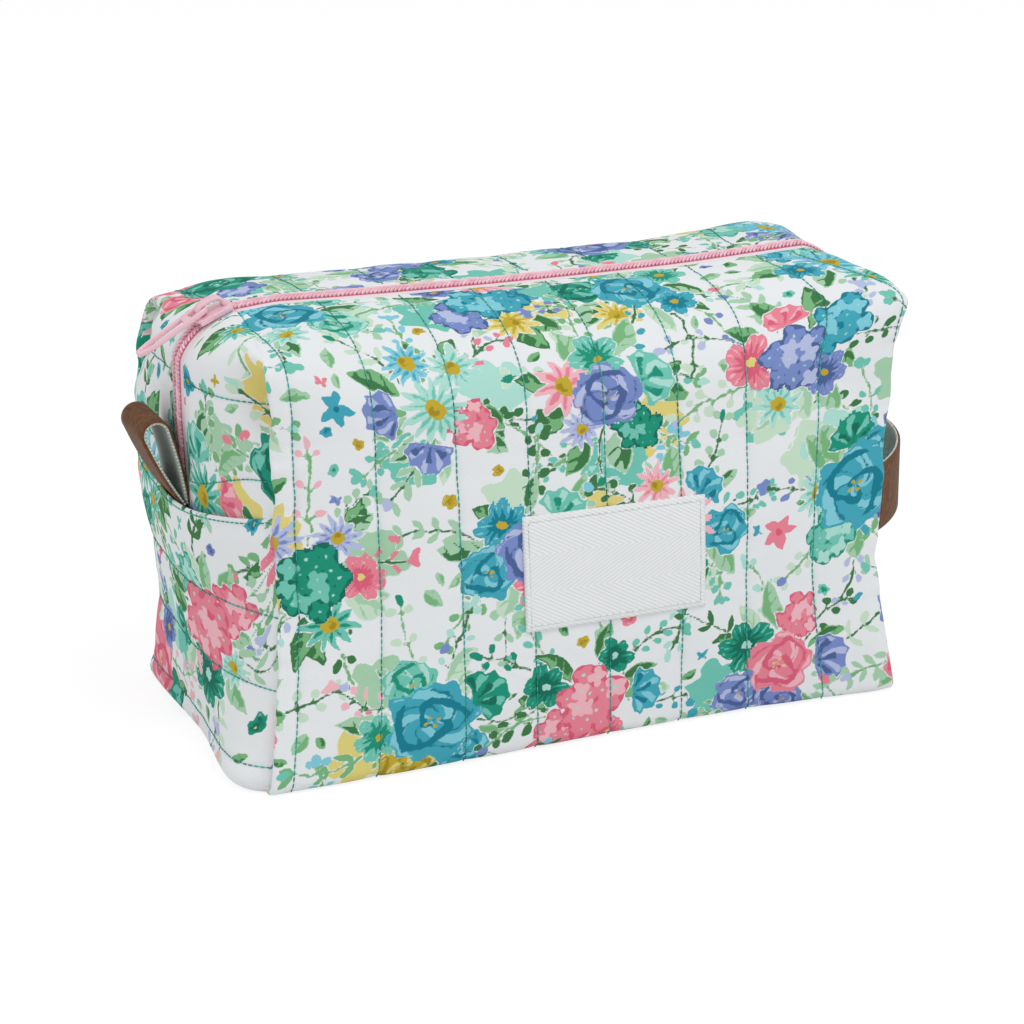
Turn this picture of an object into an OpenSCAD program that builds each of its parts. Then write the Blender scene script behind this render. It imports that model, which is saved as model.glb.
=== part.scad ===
/* [Bag] */
// Length of the bag, over the edges of its front and back
bag_l = 197; // [160:1:250]
// Depth of the bag, front to back
bag_w = 94; // [78:1:130]
// Height of the bag
bag_h = 118; // [98:1:150]
// Radius of the long rolls where the front and back turn into the top
roll_r = 12; // [9:0.5:20]
// Radius of the lower front and back edges
base_r = 7; // [5:0.5:12]
// How far the end panels sit back from the edges of the front and back
end_recess = 1.2; // [0.6:0.1:3]
// Height of the seam that runs across each end
end_seam_z = 66; // [50:1:80]
// Radius of the fold where the top turns down into an end
end_fold_r = 5; // [4.5:0.5:10]
// Length of the sloping shoulder between the flat top and an end fold
shoulder_l = 12; // [11.6:0.1:18]
// Slope of that shoulder
shoulder_tilt = 22; // [8:1:26]

/* [Cloth] */
// Thickness of the quilted cloth, print cotton and wadding together
quilt_t = 2.6; // [1.8:0.1:3.2]
// Thickness of the lining cotton
lining_t = 0.6; // [0.4:0.1:0.9]
// How far the lower end flap lies outside the upper one
flap_lap = 0.9; // [0.4:0.1:1.5]
// Gap between neighbouring pieces of cloth
seam_gap = 0.3; // [0.2:0.05:0.5]
// Gap between layers that lie on each other
ply_gap = 0.1; // [0.05:0.05:0.2]

/* [Zip] */
// Width of the slit that the zip lies in
slit_w = 13; // [12:0.5:18]
// Width of one zip tape
tape_w = 13; // [11:0.5:16]
// Thickness of a zip tape
tape_t = 0.6; // [0.4:0.1:0.8]
// Distance from the middle of the zip to a tape's inner edge
tape_in = 1.2; // [1:0.1:1.5]
// Length of tape that is caught in an end seam
tape_tail = 4; // [2:0.5:6]
// Diameter of the cord along the root of the teeth
cord_d = 1.6; // [1.4:0.1:1.8]
// Distance from the middle to the cord where the zip is closed
cord_y = 2.5; // [2.3:0.1:2.6]
// Distance from the middle to the cord where the zip is open
open_cord_y = 3.05; // [2.9:0.05:3.1]
// Diameter of a tooth
tooth_d = 0.84; // [0.6:0.02:0.9]
// Spacing of the teeth on one tape
tooth_pitch = 2; // [1.96:0.02:3]
// How far a closed tooth reaches past the middle
tooth_reach = 0.6; // [0.3:0.1:0.8]
// Distance from the middle to the tip of an open tooth
open_tip_y = 1.15; // [1.1:0.05:1.4]

/* [Slider and pull] */
// Length of the slider
slider_l = 10.8; // [9:0.1:11.2]
// Width of the slider at its shoulders
slider_w = 9.6; // [9.4:0.1:10.4]
// Width of the slider at its tail
slider_tail_w = 8.2; // [8:0.1:9]
// Thickness of the slider's plates and flanges
plate_t = 0.8; // [0.6:0.05:0.9]
// Room round the teeth and tape inside the slider
slider_room = 0.3; // [0.2:0.05:0.4]
// Width of the divider that parts the teeth
divider_w = 1.5; // [1.2:0.1:1.8]
// Length of the bridge that holds the pull
bridge_l = 8; // [7:0.1:8.4]
// Width of the bridge
bridge_w = 2.2; // [1.6:0.1:2.6]
// Height of the slot under the bridge
bridge_slot_h = 2.3; // [2:0.1:3]
// Thickness of the bridge
bridge_t = 1; // [0.8:0.1:1.4]
// Place of the pull's bar along the slider, from its middle
bar_u = -1.6; // [-2:0.1:0]
// Diameter of the pull's bar
bar_d = 1.3; // [1:0.1:1.5]
// Length of the pull from its bar to its tip
pull_l = 21.5; // [18:0.5:34]
// Width of the pull at its widest place
pull_w = 6.2; // [5.6:0.1:8]
// Thickness of the pull
pull_t = 1.2; // [0.9:0.1:1.3]
// Width of the rails round the pull's openings
pull_rail = 1.4; // [1:0.1:1.8]
// How far the resting pull dips below the line of the slider
pull_dip = 9; // [0:1:9]

/* [Leather] */
// Thickness of the leather strip
leather_t = 1.3; // [1:0.1:2]
// Width of the folded loop
loop_w = 20; // [14:1:30]
// Length of the folded loop from its seam to its top
loop_l = 24; // [18:1:36]
// Depth of the folded loop at its roundest place
loop_d = 9; // [7.4:0.2:12]
// How far the middle of the loop lies behind the middle of the zip
loop_y = 4; // [-8:1:8]
// Lean of the loop away from the end
loop_lean = 18; // [14:1:40]
// Width of the handle strap
handle_w = 19; // [14:1:28]
// Height of the middle of the handle
handle_z = 54; // [40:1:80]
// How far the handle stands off the end
handle_bulge = 17; // [12:1:28]

/* [Label] */
// Width of the label
label_w = 53; // [30:1:80]
// Height of the label
label_h = 31; // [20:1:40]
// Thickness of the label
label_t = 0.6; // [0.4:0.1:1]
// Place of the label's middle along the front
label_x = 7; // [-30:1:30]
// Height of the label's middle
label_z = 47.5; // [30:0.5:70]

/* [Hidden] */
$fn = 64;
half_l = bag_l / 2;
half_w = bag_w / 2;
far = bag_l + bag_w + bag_h;

// The end panels, their fold and their shoulder, as insets of one outline
end_x = half_l - end_recess;
fold_x = -(end_x - end_fold_r);
fold_z = bag_h - shoulder_l * sin(shoulder_tilt) - end_fold_r * cos(shoulder_tilt);
function shoulder_low(inset) = [
    fold_x - (end_fold_r - inset) * sin(shoulder_tilt),
    fold_z + (end_fold_r - inset) * cos(shoulder_tilt)
];
function shoulder_run(inset) = shoulder_l - inset * (1 - cos(shoulder_tilt)) / sin(shoulder_tilt);
function shoulder_point(inset, run) =
    shoulder_low(inset) + run * [cos(shoulder_tilt), sin(shoulder_tilt)];
function shoulder_high(inset) = shoulder_point(inset, shoulder_run(inset));
top_x = -shoulder_high(0)[0];

// Where the front and back stop and the two halves of the top hinge
hinge_z = bag_h - roll_r;
side_y = half_w - quilt_t - seam_gap;
mouth_x = top_x - seam_gap;

// Layers of the zip, counted inwards from the outside of the cloth
tape_in_layer = quilt_t + ply_gap;
tape_top = bag_h - tape_in_layer;
tape_out_y = tape_in + tape_w;
cord_inset = tape_in_layer - cord_d / 2;
lining_in = quilt_t + ply_gap;
lining_x = end_x - lining_in;

// The slider in its own frame: u along the zip, v across, n out of the tape
slider_at = shoulder_point(tape_in_layer, shoulder_run(tape_in_layer) / 2);
roof_n = cord_d + slider_room;
floor_n = -tape_t - slider_room;
bridge_n = roof_n + plate_t;
bar_n = bridge_n + bridge_slot_h - bar_d / 2 - ply_gap;
flange_y = slider_w / 2 - plate_t;
pull_eye = bridge_l / 2 - bar_u + 2 * seam_gap;
pull_neck_in = 0.6;
pull_slot = pull_eye + 2 * pull_rail + bar_d;
eye_r = bridge_w / 2 + seam_gap + pull_rail;
neck_r = eye_r - pull_neck_in;
bar_x = slider_at[0] + bar_u * cos(shoulder_tilt) - bar_n * sin(shoulder_tilt);
bar_z = slider_at[1] + bar_u * sin(shoulder_tilt) + bar_n * cos(shoulder_tilt);

// The loop in its own frame: along the fold, and across it
loop_r = loop_d / 2;
loop_round = loop_l - loop_r;
loop_tangent = asin(loop_r / loop_round);
loop_root_r = leather_t;
loop_x = -(end_x + flap_lap + loop_root_r + seam_gap);
loop_z = end_seam_z;

// The arc of the handle
handle_x = end_x + flap_lap + ply_gap;
handle_y = half_w - quilt_t - seam_gap;
handle_r = (handle_y * handle_y + handle_bulge * handle_bulge) / (2 * handle_bulge);

cloth = [0.90, 0.92, 0.93];
lining_white = [0.93, 0.93, 0.91];
zip_pink = [0.94, 0.66, 0.74];
tape_white = [0.95, 0.90, 0.91];
slider_pink = [0.93, 0.72, 0.79];
leather_brown = [0.43, 0.31, 0.23];
label_white = [0.94, 0.94, 0.92];

echo(pull_hinge_mm = [bar_x, 0, bar_z]);
echo(mouth_hinge_mm = [half_w, hinge_z], mouth_x = mouth_x, tape_top = tape_top);
echo(loop_hinge_mm = [loop_x, loop_y, loop_z], slider_mm = slider_at, top_x = top_x);

// Shapes that the pieces share

// Extrudes an outline of X and Z between two places on Y
module along_y(from, to) {
    translate([0, to, 0]) rotate([90, 0, 0]) linear_extrude(to - from) children();
}

// Extrudes an outline of Y and Z between two places on X
module along_x(from, to) {
    translate([from, 0, 0]) rotate([90, 0, 90]) linear_extrude(to - from) children();
}

// A rectangle from its lowest and highest corners
module span(low, high) {
    translate(low) square(high - low);
}

// The bag seen from its end, with the long rolls and the base edges
module side_outline(inset) {
    flat_y = half_w - roll_r;
    foot_y = half_w - base_r;
    span([-(half_w - inset), base_r], [half_w - inset, hinge_z]);
    span([-flat_y, hinge_z - 1], [flat_y, bag_h - inset]);
    span([-foot_y, inset], [foot_y, base_r + 1]);
    for (side = [-1, 1]) {
        translate([side * flat_y, hinge_z]) circle(roll_r - inset);
        translate([side * foot_y, base_r]) circle(base_r - inset);
    }
}

// The cloth seen from the end, as a ring between two insets
module side_ring(outer, inner) {
    difference() {
        side_outline(outer);
        side_outline(inner);
    }
}

// The bag seen from the front, with the fold and the shoulder at each end
module end_outline(inset) {
    wall_x = -(end_x - inset);
    fold_r = end_fold_r - inset;
    corner = shoulder_point(inset, -fold_r * tan((90 - shoulder_tilt) / 2));
    for (side = [0, 1]) mirror([side, 0]) difference() {
        polygon([[1, 0], [wall_x, 0], corner, shoulder_high(inset), [1, bag_h - inset]]);
        difference() {
            polygon([[fold_x, fold_z], [wall_x, fold_z], corner, shoulder_low(inset)]);
            translate([fold_x, fold_z]) circle(fold_r);
        }
    }
}

// One end of a ring between two insets, from a height up to the flat top
module end_ring(outer, inner, from_z) {
    intersection() {
        difference() {
            end_outline(outer);
            end_outline(inner);
        }
        span([-far, from_z], [-top_x, far]);
    }
}

// Puts a shape that is drawn at the left end also at the right end
module at_end(right) {
    mirror([right ? 1 : 0, 0, 0]) children();
}

// Puts a shape that is drawn at the front also at the back
module at_back(back) {
    mirror([0, back ? 1 : 0, 0]) children();
}

// Quilted cloth

// Front or back: a wall that turns under the bag, with an ear at each top corner
module wall_panel() {
    along_x(-half_l, half_l) intersection() {
        side_ring(0, quilt_t);
        span([-far, -1], [-(half_w - base_r), hinge_z - seam_gap]);
    }
    for (right = [false, true]) at_end(right) along_y(-half_w, -half_w + quilt_t) intersection() {
        end_outline(-end_recess);
        span([-half_l, hinge_z - roll_r], [-top_x, bag_h]);
    }
}

// Half of the top: the long roll and the flat strip beside the zip
module top_panel() {
    along_x(-mouth_x, mouth_x) intersection() {
        side_ring(0, quilt_t);
        span([-far, hinge_z + seam_gap], [-slit_w / 2, far]);
    }
}

// Upper half of an end, on one side of the zip, with the fold and the shoulder
module upper_flap() {
    along_y(-side_y, -slit_w / 2) end_ring(0, quilt_t, end_seam_z + seam_gap);
}

// Lower half of an end, whose folded edge laps over the upper half
module lower_flap() {
    along_x(-(end_x + flap_lap), -(end_x + flap_lap) + quilt_t) intersection() {
        side_outline(quilt_t + seam_gap);
        span([-far, 0], [far, end_seam_z]);
    }
}

module front_panel() {
    color(cloth) wall_panel();
}

module back_panel() {
    color(cloth) at_back(true) wall_panel();
}

module base_panel() {
    base_y = half_w - base_r - ply_gap;
    color(cloth) along_x(-half_l, half_l) span([-base_y, 0], [base_y, quilt_t]);
}

module left_lower_flap() {
    color(cloth) lower_flap();
}

module right_lower_flap() {
    color(cloth) at_end(true) lower_flap();
}

module left_upper_front_flap() {
    color(cloth) upper_flap();
}

module left_upper_back_flap() {
    color(cloth) at_back(true) upper_flap();
}

module right_upper_front_flap() {
    color(cloth) at_end(true) upper_flap();
}

module right_upper_back_flap() {
    color(cloth) at_end(true) at_back(true) upper_flap();
}

module front_top_panel() {
    color(cloth) top_panel();
}

module back_top_panel() {
    color(cloth) at_back(true) top_panel();
}

// Lining

module body_lining() {
    color(lining_white) along_x(-lining_x, lining_x) intersection() {
        side_ring(lining_in, lining_in + lining_t);
        span([-far, 0], [far, hinge_z - seam_gap]);
    }
}

// End of the lining, open above the seam where the zip tapes run down
module end_lining() {
    color(lining_white) along_x(-lining_x, -lining_x + lining_t) difference() {
        intersection() {
            side_outline(lining_in + lining_t + ply_gap);
            span([-far, 0], [far, fold_z - seam_gap]);
        }
        span(
            [-tape_out_y - seam_gap, end_seam_z - tape_tail - seam_gap],
            [tape_out_y + seam_gap, far]
        );
    }
}

module left_end_lining() {
    end_lining();
}

module right_end_lining() {
    at_end(true) end_lining();
}

module top_lining() {
    color(lining_white) along_x(-mouth_x, mouth_x) intersection() {
        side_ring(lining_in, lining_in + lining_t);
        span([-far, hinge_z + seam_gap], [-tape_out_y - seam_gap, far]);
    }
}

module front_top_lining() {
    top_lining();
}

module back_top_lining() {
    at_back(true) top_lining();
}

// Zip tapes

module top_tape() {
    color(tape_white) along_x(-mouth_x, mouth_x)
        span([-tape_out_y, tape_top - tape_t], [-tape_in, tape_top]);
}

// Both tapes where they run over the shoulder and down an end
module end_tapes() {
    color(tape_white) for (back = [false, true]) at_back(back)
        along_y(-tape_out_y, -tape_in)
            end_ring(tape_in_layer, tape_in_layer + tape_t, end_seam_z - tape_tail);
}

module front_zip_tape() {
    top_tape();
}

module back_zip_tape() {
    at_back(true) top_tape();
}

module left_zip_tapes() {
    end_tapes();
}

module right_zip_tapes() {
    at_end(true) end_tapes();
}

// Zip teeth

// One tooth across the zip, from its cord to its tip
module tooth(root_y, tip_y) {
    translate([0, root_y, 0]) rotate([-90, 0, 0]) cylinder(d = tooth_d, h = tip_y - root_y);
}

// Teeth of one tape along the flat top, each half a pitch off those of the other tape
module top_teeth(phase) {
    count = floor((2 * mouth_x - tooth_pitch) / tooth_pitch);
    start = -(count - 1) * tooth_pitch / 2 + phase;
    color(zip_pink) translate([0, 0, tape_top + cord_d / 2]) {
        translate([-mouth_x, -cord_y, 0]) rotate([0, 90, 0]) cylinder(d = cord_d, h = 2 * mouth_x);
        for (i = [0:count - 1]) translate([start + i * tooth_pitch, 0, 0]) tooth(-cord_y, tooth_reach);
    }
}

// Teeth of one tape over a shoulder, round the fold and down an end.
// The cord is squeezed a little thicker round the fold, lifts by most of that, and laps into its straight lengths.
module end_teeth(root_y, tip_y, phase) {
    arc_r = end_fold_r - cord_inset;
    arc_turn = 90 - shoulder_tilt;
    fold_cord_d = 1.06 * cord_d;
    fold_lift = 0.9 * (fold_cord_d - cord_d) / 2;
    lap = cord_d / 5;
    wall_h = fold_z - end_seam_z - seam_gap;
    run = shoulder_run(cord_inset) - cord_d / 2 * sin(shoulder_tilt) - seam_gap;
    wall_count = floor((wall_h - 2 * tooth_d) / tooth_pitch);
    run_count = floor((run - 2 * tooth_d) / tooth_pitch);
    arc_count = floor(arc_r * arc_turn * PI / 180 / tooth_pitch);
    translate([fold_x, root_y, fold_z]) {
        translate([-arc_r, 0, -wall_h]) cylinder(d = cord_d, h = wall_h + lap);
        rotate([90, 0, 0]) rotate(90 + shoulder_tilt) rotate_extrude(angle = arc_turn)
            translate([arc_r + fold_lift, 0]) circle(d = fold_cord_d);
        rotate([0, -shoulder_tilt, 0]) translate([-lap, 0, arc_r]) rotate([0, 90, 0])
            cylinder(d = cord_d, h = run + lap);
    }
    translate([fold_x, 0, fold_z]) {
        for (i = [1:wall_count])
            translate([-arc_r, 0, -i * tooth_pitch + phase]) tooth(root_y, tip_y);
        for (i = [0:arc_count - 1])
            rotate([0, -shoulder_tilt - (i + 0.5 + phase / tooth_pitch) * arc_turn / (arc_count + 0.5), 0])
                translate([0, 0, arc_r]) tooth(root_y, tip_y);
        for (i = [1:run_count])
            rotate([0, -shoulder_tilt, 0]) translate([i * tooth_pitch - phase, 0, arc_r])
                tooth(root_y, tip_y);
    }
}

module front_zip_teeth() {
    top_teeth(-tooth_pitch / 4);
}

module back_zip_teeth() {
    at_back(true) top_teeth(tooth_pitch / 4);
}

module left_zip_teeth() {
    color(zip_pink) for (back = [false, true]) at_back(back)
        end_teeth(-open_cord_y, -open_tip_y, (back ? 1 : -1) * tooth_pitch / 4);
}

module right_zip_teeth() {
    color(zip_pink) at_end(true) for (back = [false, true]) at_back(back)
        end_teeth(-cord_y, tooth_reach, (back ? 1 : -1) * tooth_pitch / 4);
}

// Slider and pull

// Puts a shape that is drawn in the slider's own frame on the shoulder
module on_slider() {
    translate([slider_at[0], 0, slider_at[1]]) rotate([0, -shoulder_tilt, 0]) children();
}

// Plate of the slider: shoulders at the nose, where the tapes part, and a narrower tail
module slider_plate(thick) {
    nose = slider_l / 2;
    corner = 1;
    linear_extrude(thick) {
        polygon([
            [-nose, -slider_w / 2 + 2 * corner], [-nose + corner, -slider_w / 2 + corner],
            [-nose + 2 * corner, -slider_w / 2], [-nose / 3, -slider_w / 2],
            [nose / 3, -slider_tail_w / 2], [nose - corner, -slider_tail_w / 2],
            [nose, -slider_tail_w / 2 + corner], [nose, slider_tail_w / 2 - corner],
            [nose - corner, slider_tail_w / 2], [nose / 3, slider_tail_w / 2],
            [-nose / 3, slider_w / 2], [-nose + 2 * corner, slider_w / 2],
            [-nose + corner, slider_w / 2 - corner], [-nose, slider_w / 2 - 2 * corner]
        ]);
        for (side = [-1, 1]) {
            translate([-nose + 2 * corner, side * (slider_w / 2 - 2 * corner)]) circle(2 * corner);
            translate([nose - corner, side * (slider_tail_w / 2 - corner)]) circle(corner);
        }
    }
}

// Side wall of the slider, which keeps the teeth in and leaves a gap for the tape
module slider_flange(low, high) {
    wall_l = slider_l / 3;
    translate([-wall_l, flange_y, low]) cube([wall_l, plate_t, high - low]);
}

// Bridge over the top plate, seen from the side
module bridge_outline() {
    high = bridge_slot_h + bridge_t;
    round_r = 1.6 * bridge_t;
    slot_l = bridge_l - 2 * bridge_t;
    difference() {
        union() {
            span([-bridge_l / 2, 0], [bridge_l / 2, high - round_r]);
            span([-bridge_l / 2 + round_r, 0], [bridge_l / 2 - round_r, high]);
            for (side = [-1, 1]) translate([side * (bridge_l / 2 - round_r), high - round_r])
                circle(round_r);
        }
        span([-slot_l / 2, -1], [slot_l / 2, bridge_slot_h]);
    }
}

module zip_slider() {
    divider_u = -slider_l / 2 + divider_w;
    color(slider_pink) on_slider() {
        translate([0, 0, roof_n]) slider_plate(plate_t);
        translate([0, 0, floor_n - plate_t]) slider_plate(plate_t);
        for (back = [false, true]) at_back(back) {
            slider_flange(slider_room, roof_n);
            slider_flange(floor_n, floor_n + slider_room / 2);
        }
        translate([divider_u, 0, floor_n]) cylinder(d = divider_w, h = roof_n - floor_n);
        translate([0, 0, bridge_n]) along_y(-bridge_w / 2, bridge_w / 2) bridge_outline();
    }
}

// Pull seen flat: an eye round the bridge, a neck and a long slotted frame
module pull_outline() {
    tip_r = pull_w / 2;
    difference() {
        union() {
            span([0, -eye_r], [pull_eye + pull_rail, eye_r]);
            span([pull_eye, -neck_r], [pull_slot, neck_r]);
            polygon([
                [pull_slot - pull_rail, -neck_r], [pull_l - tip_r, -tip_r],
                [pull_l - tip_r, tip_r], [pull_slot - pull_rail, neck_r]
            ]);
            translate([pull_l - tip_r, 0]) circle(tip_r);
        }
        span([-bar_d, -eye_r + pull_rail], [pull_eye, eye_r - pull_rail]);
        translate([pull_l - tip_r, 0]) circle(tip_r - pull_rail);
        polygon([
            [pull_slot, -neck_r + pull_rail], [pull_l - tip_r, -tip_r + pull_rail],
            [pull_l - tip_r, tip_r - pull_rail], [pull_slot, neck_r - pull_rail]
        ]);
    }
}

module zip_pull() {
    color(slider_pink) on_slider() translate([bar_u, 0, bar_n]) rotate([0, 180 - pull_dip, 0]) {
        rotate([90, 0, 0]) translate([0, 0, -eye_r]) cylinder(d = bar_d, h = 2 * eye_r);
        translate([0, 0, -pull_t / 2]) linear_extrude(pull_t) pull_outline();
    }
}

// Leather

// Folded strip seen from its edge: a round top and two straight legs to the seam
module fold_outline(r) {
    reach = [r * cos(loop_tangent), loop_round - r * sin(loop_tangent)];
    translate([0, loop_round]) circle(r);
    polygon([[-reach[0], reach[1]], [0, loop_round - r / sin(loop_tangent)], [reach[0], reach[1]]]);
}

module left_loop() {
    color(leather_brown) translate([loop_x, 0, loop_z]) rotate([0, -loop_lean, 0])
        along_y(loop_y - loop_w / 2, loop_y + loop_w / 2) {
            difference() {
                fold_outline(loop_r);
                fold_outline(loop_r - leather_t);
            }
            circle(loop_root_r);
        }
}

module right_handle() {
    color(leather_brown) translate([handle_x + handle_bulge - handle_r, 0, handle_z - handle_w / 2])
        linear_extrude(handle_w) intersection() {
            difference() {
                circle(handle_r, $fn = 128);
                circle(handle_r - leather_t, $fn = 128);
            }
            span([handle_r - handle_bulge, -handle_y], [far, handle_y]);
        }
}

// Label

module label() {
    color(label_white) along_y(-half_w - label_t, -half_w)
        span([label_x - label_w / 2, label_z - label_h / 2], [label_x + label_w / 2, label_z + label_h / 2]);
}

front_panel();
back_panel();
base_panel();
left_lower_flap();
right_lower_flap();
left_upper_front_flap();
left_upper_back_flap();
right_upper_front_flap();
right_upper_back_flap();
front_top_panel();
back_top_panel();
body_lining();
left_end_lining();
right_end_lining();
front_top_lining();
back_top_lining();
front_zip_tape();
back_zip_tape();
left_zip_tapes();
right_zip_tapes();
front_zip_teeth();
back_zip_teeth();
left_zip_teeth();
right_zip_teeth();
zip_slider();
zip_pull();
left_loop();
right_handle();
label();
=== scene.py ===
import math

import bpy
import numpy as np
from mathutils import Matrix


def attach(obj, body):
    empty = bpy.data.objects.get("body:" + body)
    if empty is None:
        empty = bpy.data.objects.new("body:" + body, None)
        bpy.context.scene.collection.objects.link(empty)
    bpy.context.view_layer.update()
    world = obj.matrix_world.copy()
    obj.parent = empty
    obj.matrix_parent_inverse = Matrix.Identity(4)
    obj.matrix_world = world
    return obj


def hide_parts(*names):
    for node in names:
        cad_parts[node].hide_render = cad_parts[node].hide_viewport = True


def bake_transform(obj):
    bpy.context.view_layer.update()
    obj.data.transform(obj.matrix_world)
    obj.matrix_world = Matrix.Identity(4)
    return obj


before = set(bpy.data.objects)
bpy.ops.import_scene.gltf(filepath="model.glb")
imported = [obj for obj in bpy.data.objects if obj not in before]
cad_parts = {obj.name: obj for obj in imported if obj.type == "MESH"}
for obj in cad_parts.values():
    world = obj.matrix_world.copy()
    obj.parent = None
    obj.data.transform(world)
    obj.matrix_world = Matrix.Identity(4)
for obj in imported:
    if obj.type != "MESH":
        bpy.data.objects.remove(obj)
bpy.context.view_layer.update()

# The print cotton
# Fine white cotton, printed with scattered garden flowers in greens, teals, pinks, blues and yellows.
# It is painted here flat, in millimetres, as distances to each ink's edge; every cloth piece is cut from it.
inks = {
    "dark_green": (62, 124, 72), "green": (124, 186, 130),
    "light_green": (170, 212, 178), "pale_green": (204, 230, 206),
    "deep_emerald": (10, 112, 92), "emerald": (24, 150, 122),
    "mint": (116, 202, 184), "pale_mint": (178, 228, 216),
    "teal": (14, 128, 148), "turquoise": (66, 170, 190), "aqua": (134, 208, 224),
    "deep_pink": (224, 98, 126), "pink": (238, 136, 154), "light_pink": (247, 188, 198),
    "periwinkle": (124, 144, 204), "light_periwinkle": (186, 196, 231), "slate": (78, 102, 156),
    "mustard": (200, 174, 50), "yellow": (230, 215, 128), "ochre": (168, 142, 36),
}
ink_number = {name: i for i, name in enumerate(inks)}
pale_inks = ("mint", "pale_mint", "light_green", "pale_green", "mint", "yellow")
print_cell = 0.5
print_low = np.array([-165.0, -12.0])
print_cells = (660, 880)
# Layers from the cloth up: 1 stalks, 2 leaves, 3 ribs, 4 petals, 5 lights, 6 darks, 7 hearts.
print_layers = 8
ink_edge = np.full((print_layers,) + print_cells, 9.0, np.float32)
ink_of = np.zeros((print_layers,) + print_cells, np.float32)
painter = np.random.default_rng(20)


def smooth(low, high, value):
    f = np.clip((value - low) / (high - low), 0, 1)
    return f * f * (3 - 2 * f)


def swell(a, b, seed):
    lattice = np.random.default_rng(seed).uniform(-1, 1, (64, 64))
    a, b = np.asarray(a, float) + 640.0, np.asarray(b, float) + 640.0
    i, j = np.floor(a).astype(int), np.floor(b).astype(int)
    fa, fb = a - i, b - j
    fa, fb = fa * fa * (3 - 2 * fa), fb * fb * (3 - 2 * fb)
    get = lambda p, q: lattice[p % 64, q % 64]
    return ((get(i, j) * (1 - fa) + get(i + 1, j) * fa) * (1 - fb)
            + (get(i, j + 1) * (1 - fa) + get(i + 1, j + 1) * fa) * fb)


def between(table, i, j):
    i0, j0 = i.astype(int), j.astype(int)
    fi, fj = i - i0, j - j0
    if table.ndim > 2:
        fi, fj = fi[..., None], fj[..., None]
    return (table[i0, j0] * (1 - fi) * (1 - fj) + table[i0 + 1, j0] * fi * (1 - fj)
            + table[i0, j0 + 1] * (1 - fi) * fj + table[i0 + 1, j0 + 1] * fi * fj)


def spot(u, v, turn, far):
    return u + far * math.cos(turn), v + far * math.sin(turn)


def oval(x, y, cx, cy, a, b, turn=0.0):
    c, s = math.cos(turn), math.sin(turn)
    p, q = (x - cx) * c + (y - cy) * s, (y - cy) * c - (x - cx) * s
    return (np.hypot(p / a, q / b) - 1) * min(a, b)


def blade(x, y, start, end, width, bend=0.0, blunt=0.8):
    ax, ay = end[0] - start[0], end[1] - start[1]
    long = math.hypot(ax, ay)
    s = ((x - start[0]) * ax + (y - start[1]) * ay) / long
    t = ((y - start[1]) * ax - (x - start[0]) * ay) / long
    f = np.clip(s / long, 0, 1)
    t = t - bend * long * f * (1 - f)
    past = np.maximum(np.maximum(-s, s - long), 0)
    return np.hypot(np.abs(t), past) - width * np.sin(np.pi * np.clip(f, 0.02, 0.98)) ** blunt + 0.05


def stem(x, y, points, width):
    far = np.full(x.shape, 1e3)
    for (x0, y0), (x1, y1) in zip(points[:-1], points[1:]):
        ax, ay = x1 - x0, y1 - y0
        f = np.clip(((x - x0) * ax + (y - y0) * ay) / (ax * ax + ay * ay), 0, 1)
        far = np.minimum(far, np.hypot(x - x0 - f * ax, y - y0 - f * ay))
    return far - width / 2


def arc_points(start, end, bend, count=14):
    f = np.linspace(0, 1, count)[:, None]
    start, end = np.array(start, float), np.array(end, float)
    across = np.array([start[1] - end[1], end[0] - start[0]]) * bend
    return (start + (end - start) * f + across * f * (1 - f)).tolist()


def hand_wobble():
    u, v = np.meshgrid(print_low[0] + print_cell * np.arange(print_cells[0]),
                       print_low[1] + print_cell * np.arange(print_cells[1]), indexing="ij")
    return [0.75 * swell(u / 4.6, v / 4.6, seed) + 0.3 * swell(u / 1.5, v / 1.5, seed + 10)
            for seed in (41, 42)]


wobble_u, wobble_v = hand_wobble()


def paint(u, v, turn, reach, motif, halo=0.22):
    low = np.floor((np.array([u, v]) - reach - print_low) / print_cell).astype(int)
    high = np.ceil((np.array([u, v]) + reach - print_low) / print_cell).astype(int)
    low, high = np.clip(low, 0, print_cells), np.clip(high, 0, print_cells)
    if (high - low < 4).any():
        return
    place = (slice(low[0], high[0]), slice(low[1], high[1]))
    gu, gv = np.meshgrid(
        print_low[0] + print_cell * np.arange(low[0], high[0]) - u,
        print_low[1] + print_cell * np.arange(low[1], high[1]) - v, indexing="ij")
    gu, gv = gu + wobble_u[place], gv + wobble_v[place]
    c, s = math.cos(turn), math.sin(turn)
    x, y = gu * c + gv * s, gv * c - gu * s
    parts = motif(x, y)
    outline = np.minimum.reduce([edge for _, edge, _ in parts])
    for layer in range(print_layers):
        ink_edge[layer][place] = np.maximum(ink_edge[layer][place], halo - outline)
    for layer, edge, ink in parts:
        nearer = edge < ink_edge[layer][place]
        ink_edge[layer][place] = np.where(nearer, edge, ink_edge[layer][place])
        ink_of[layer][place] = np.where(nearer, ink_number[ink], ink_of[layer][place])


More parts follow.
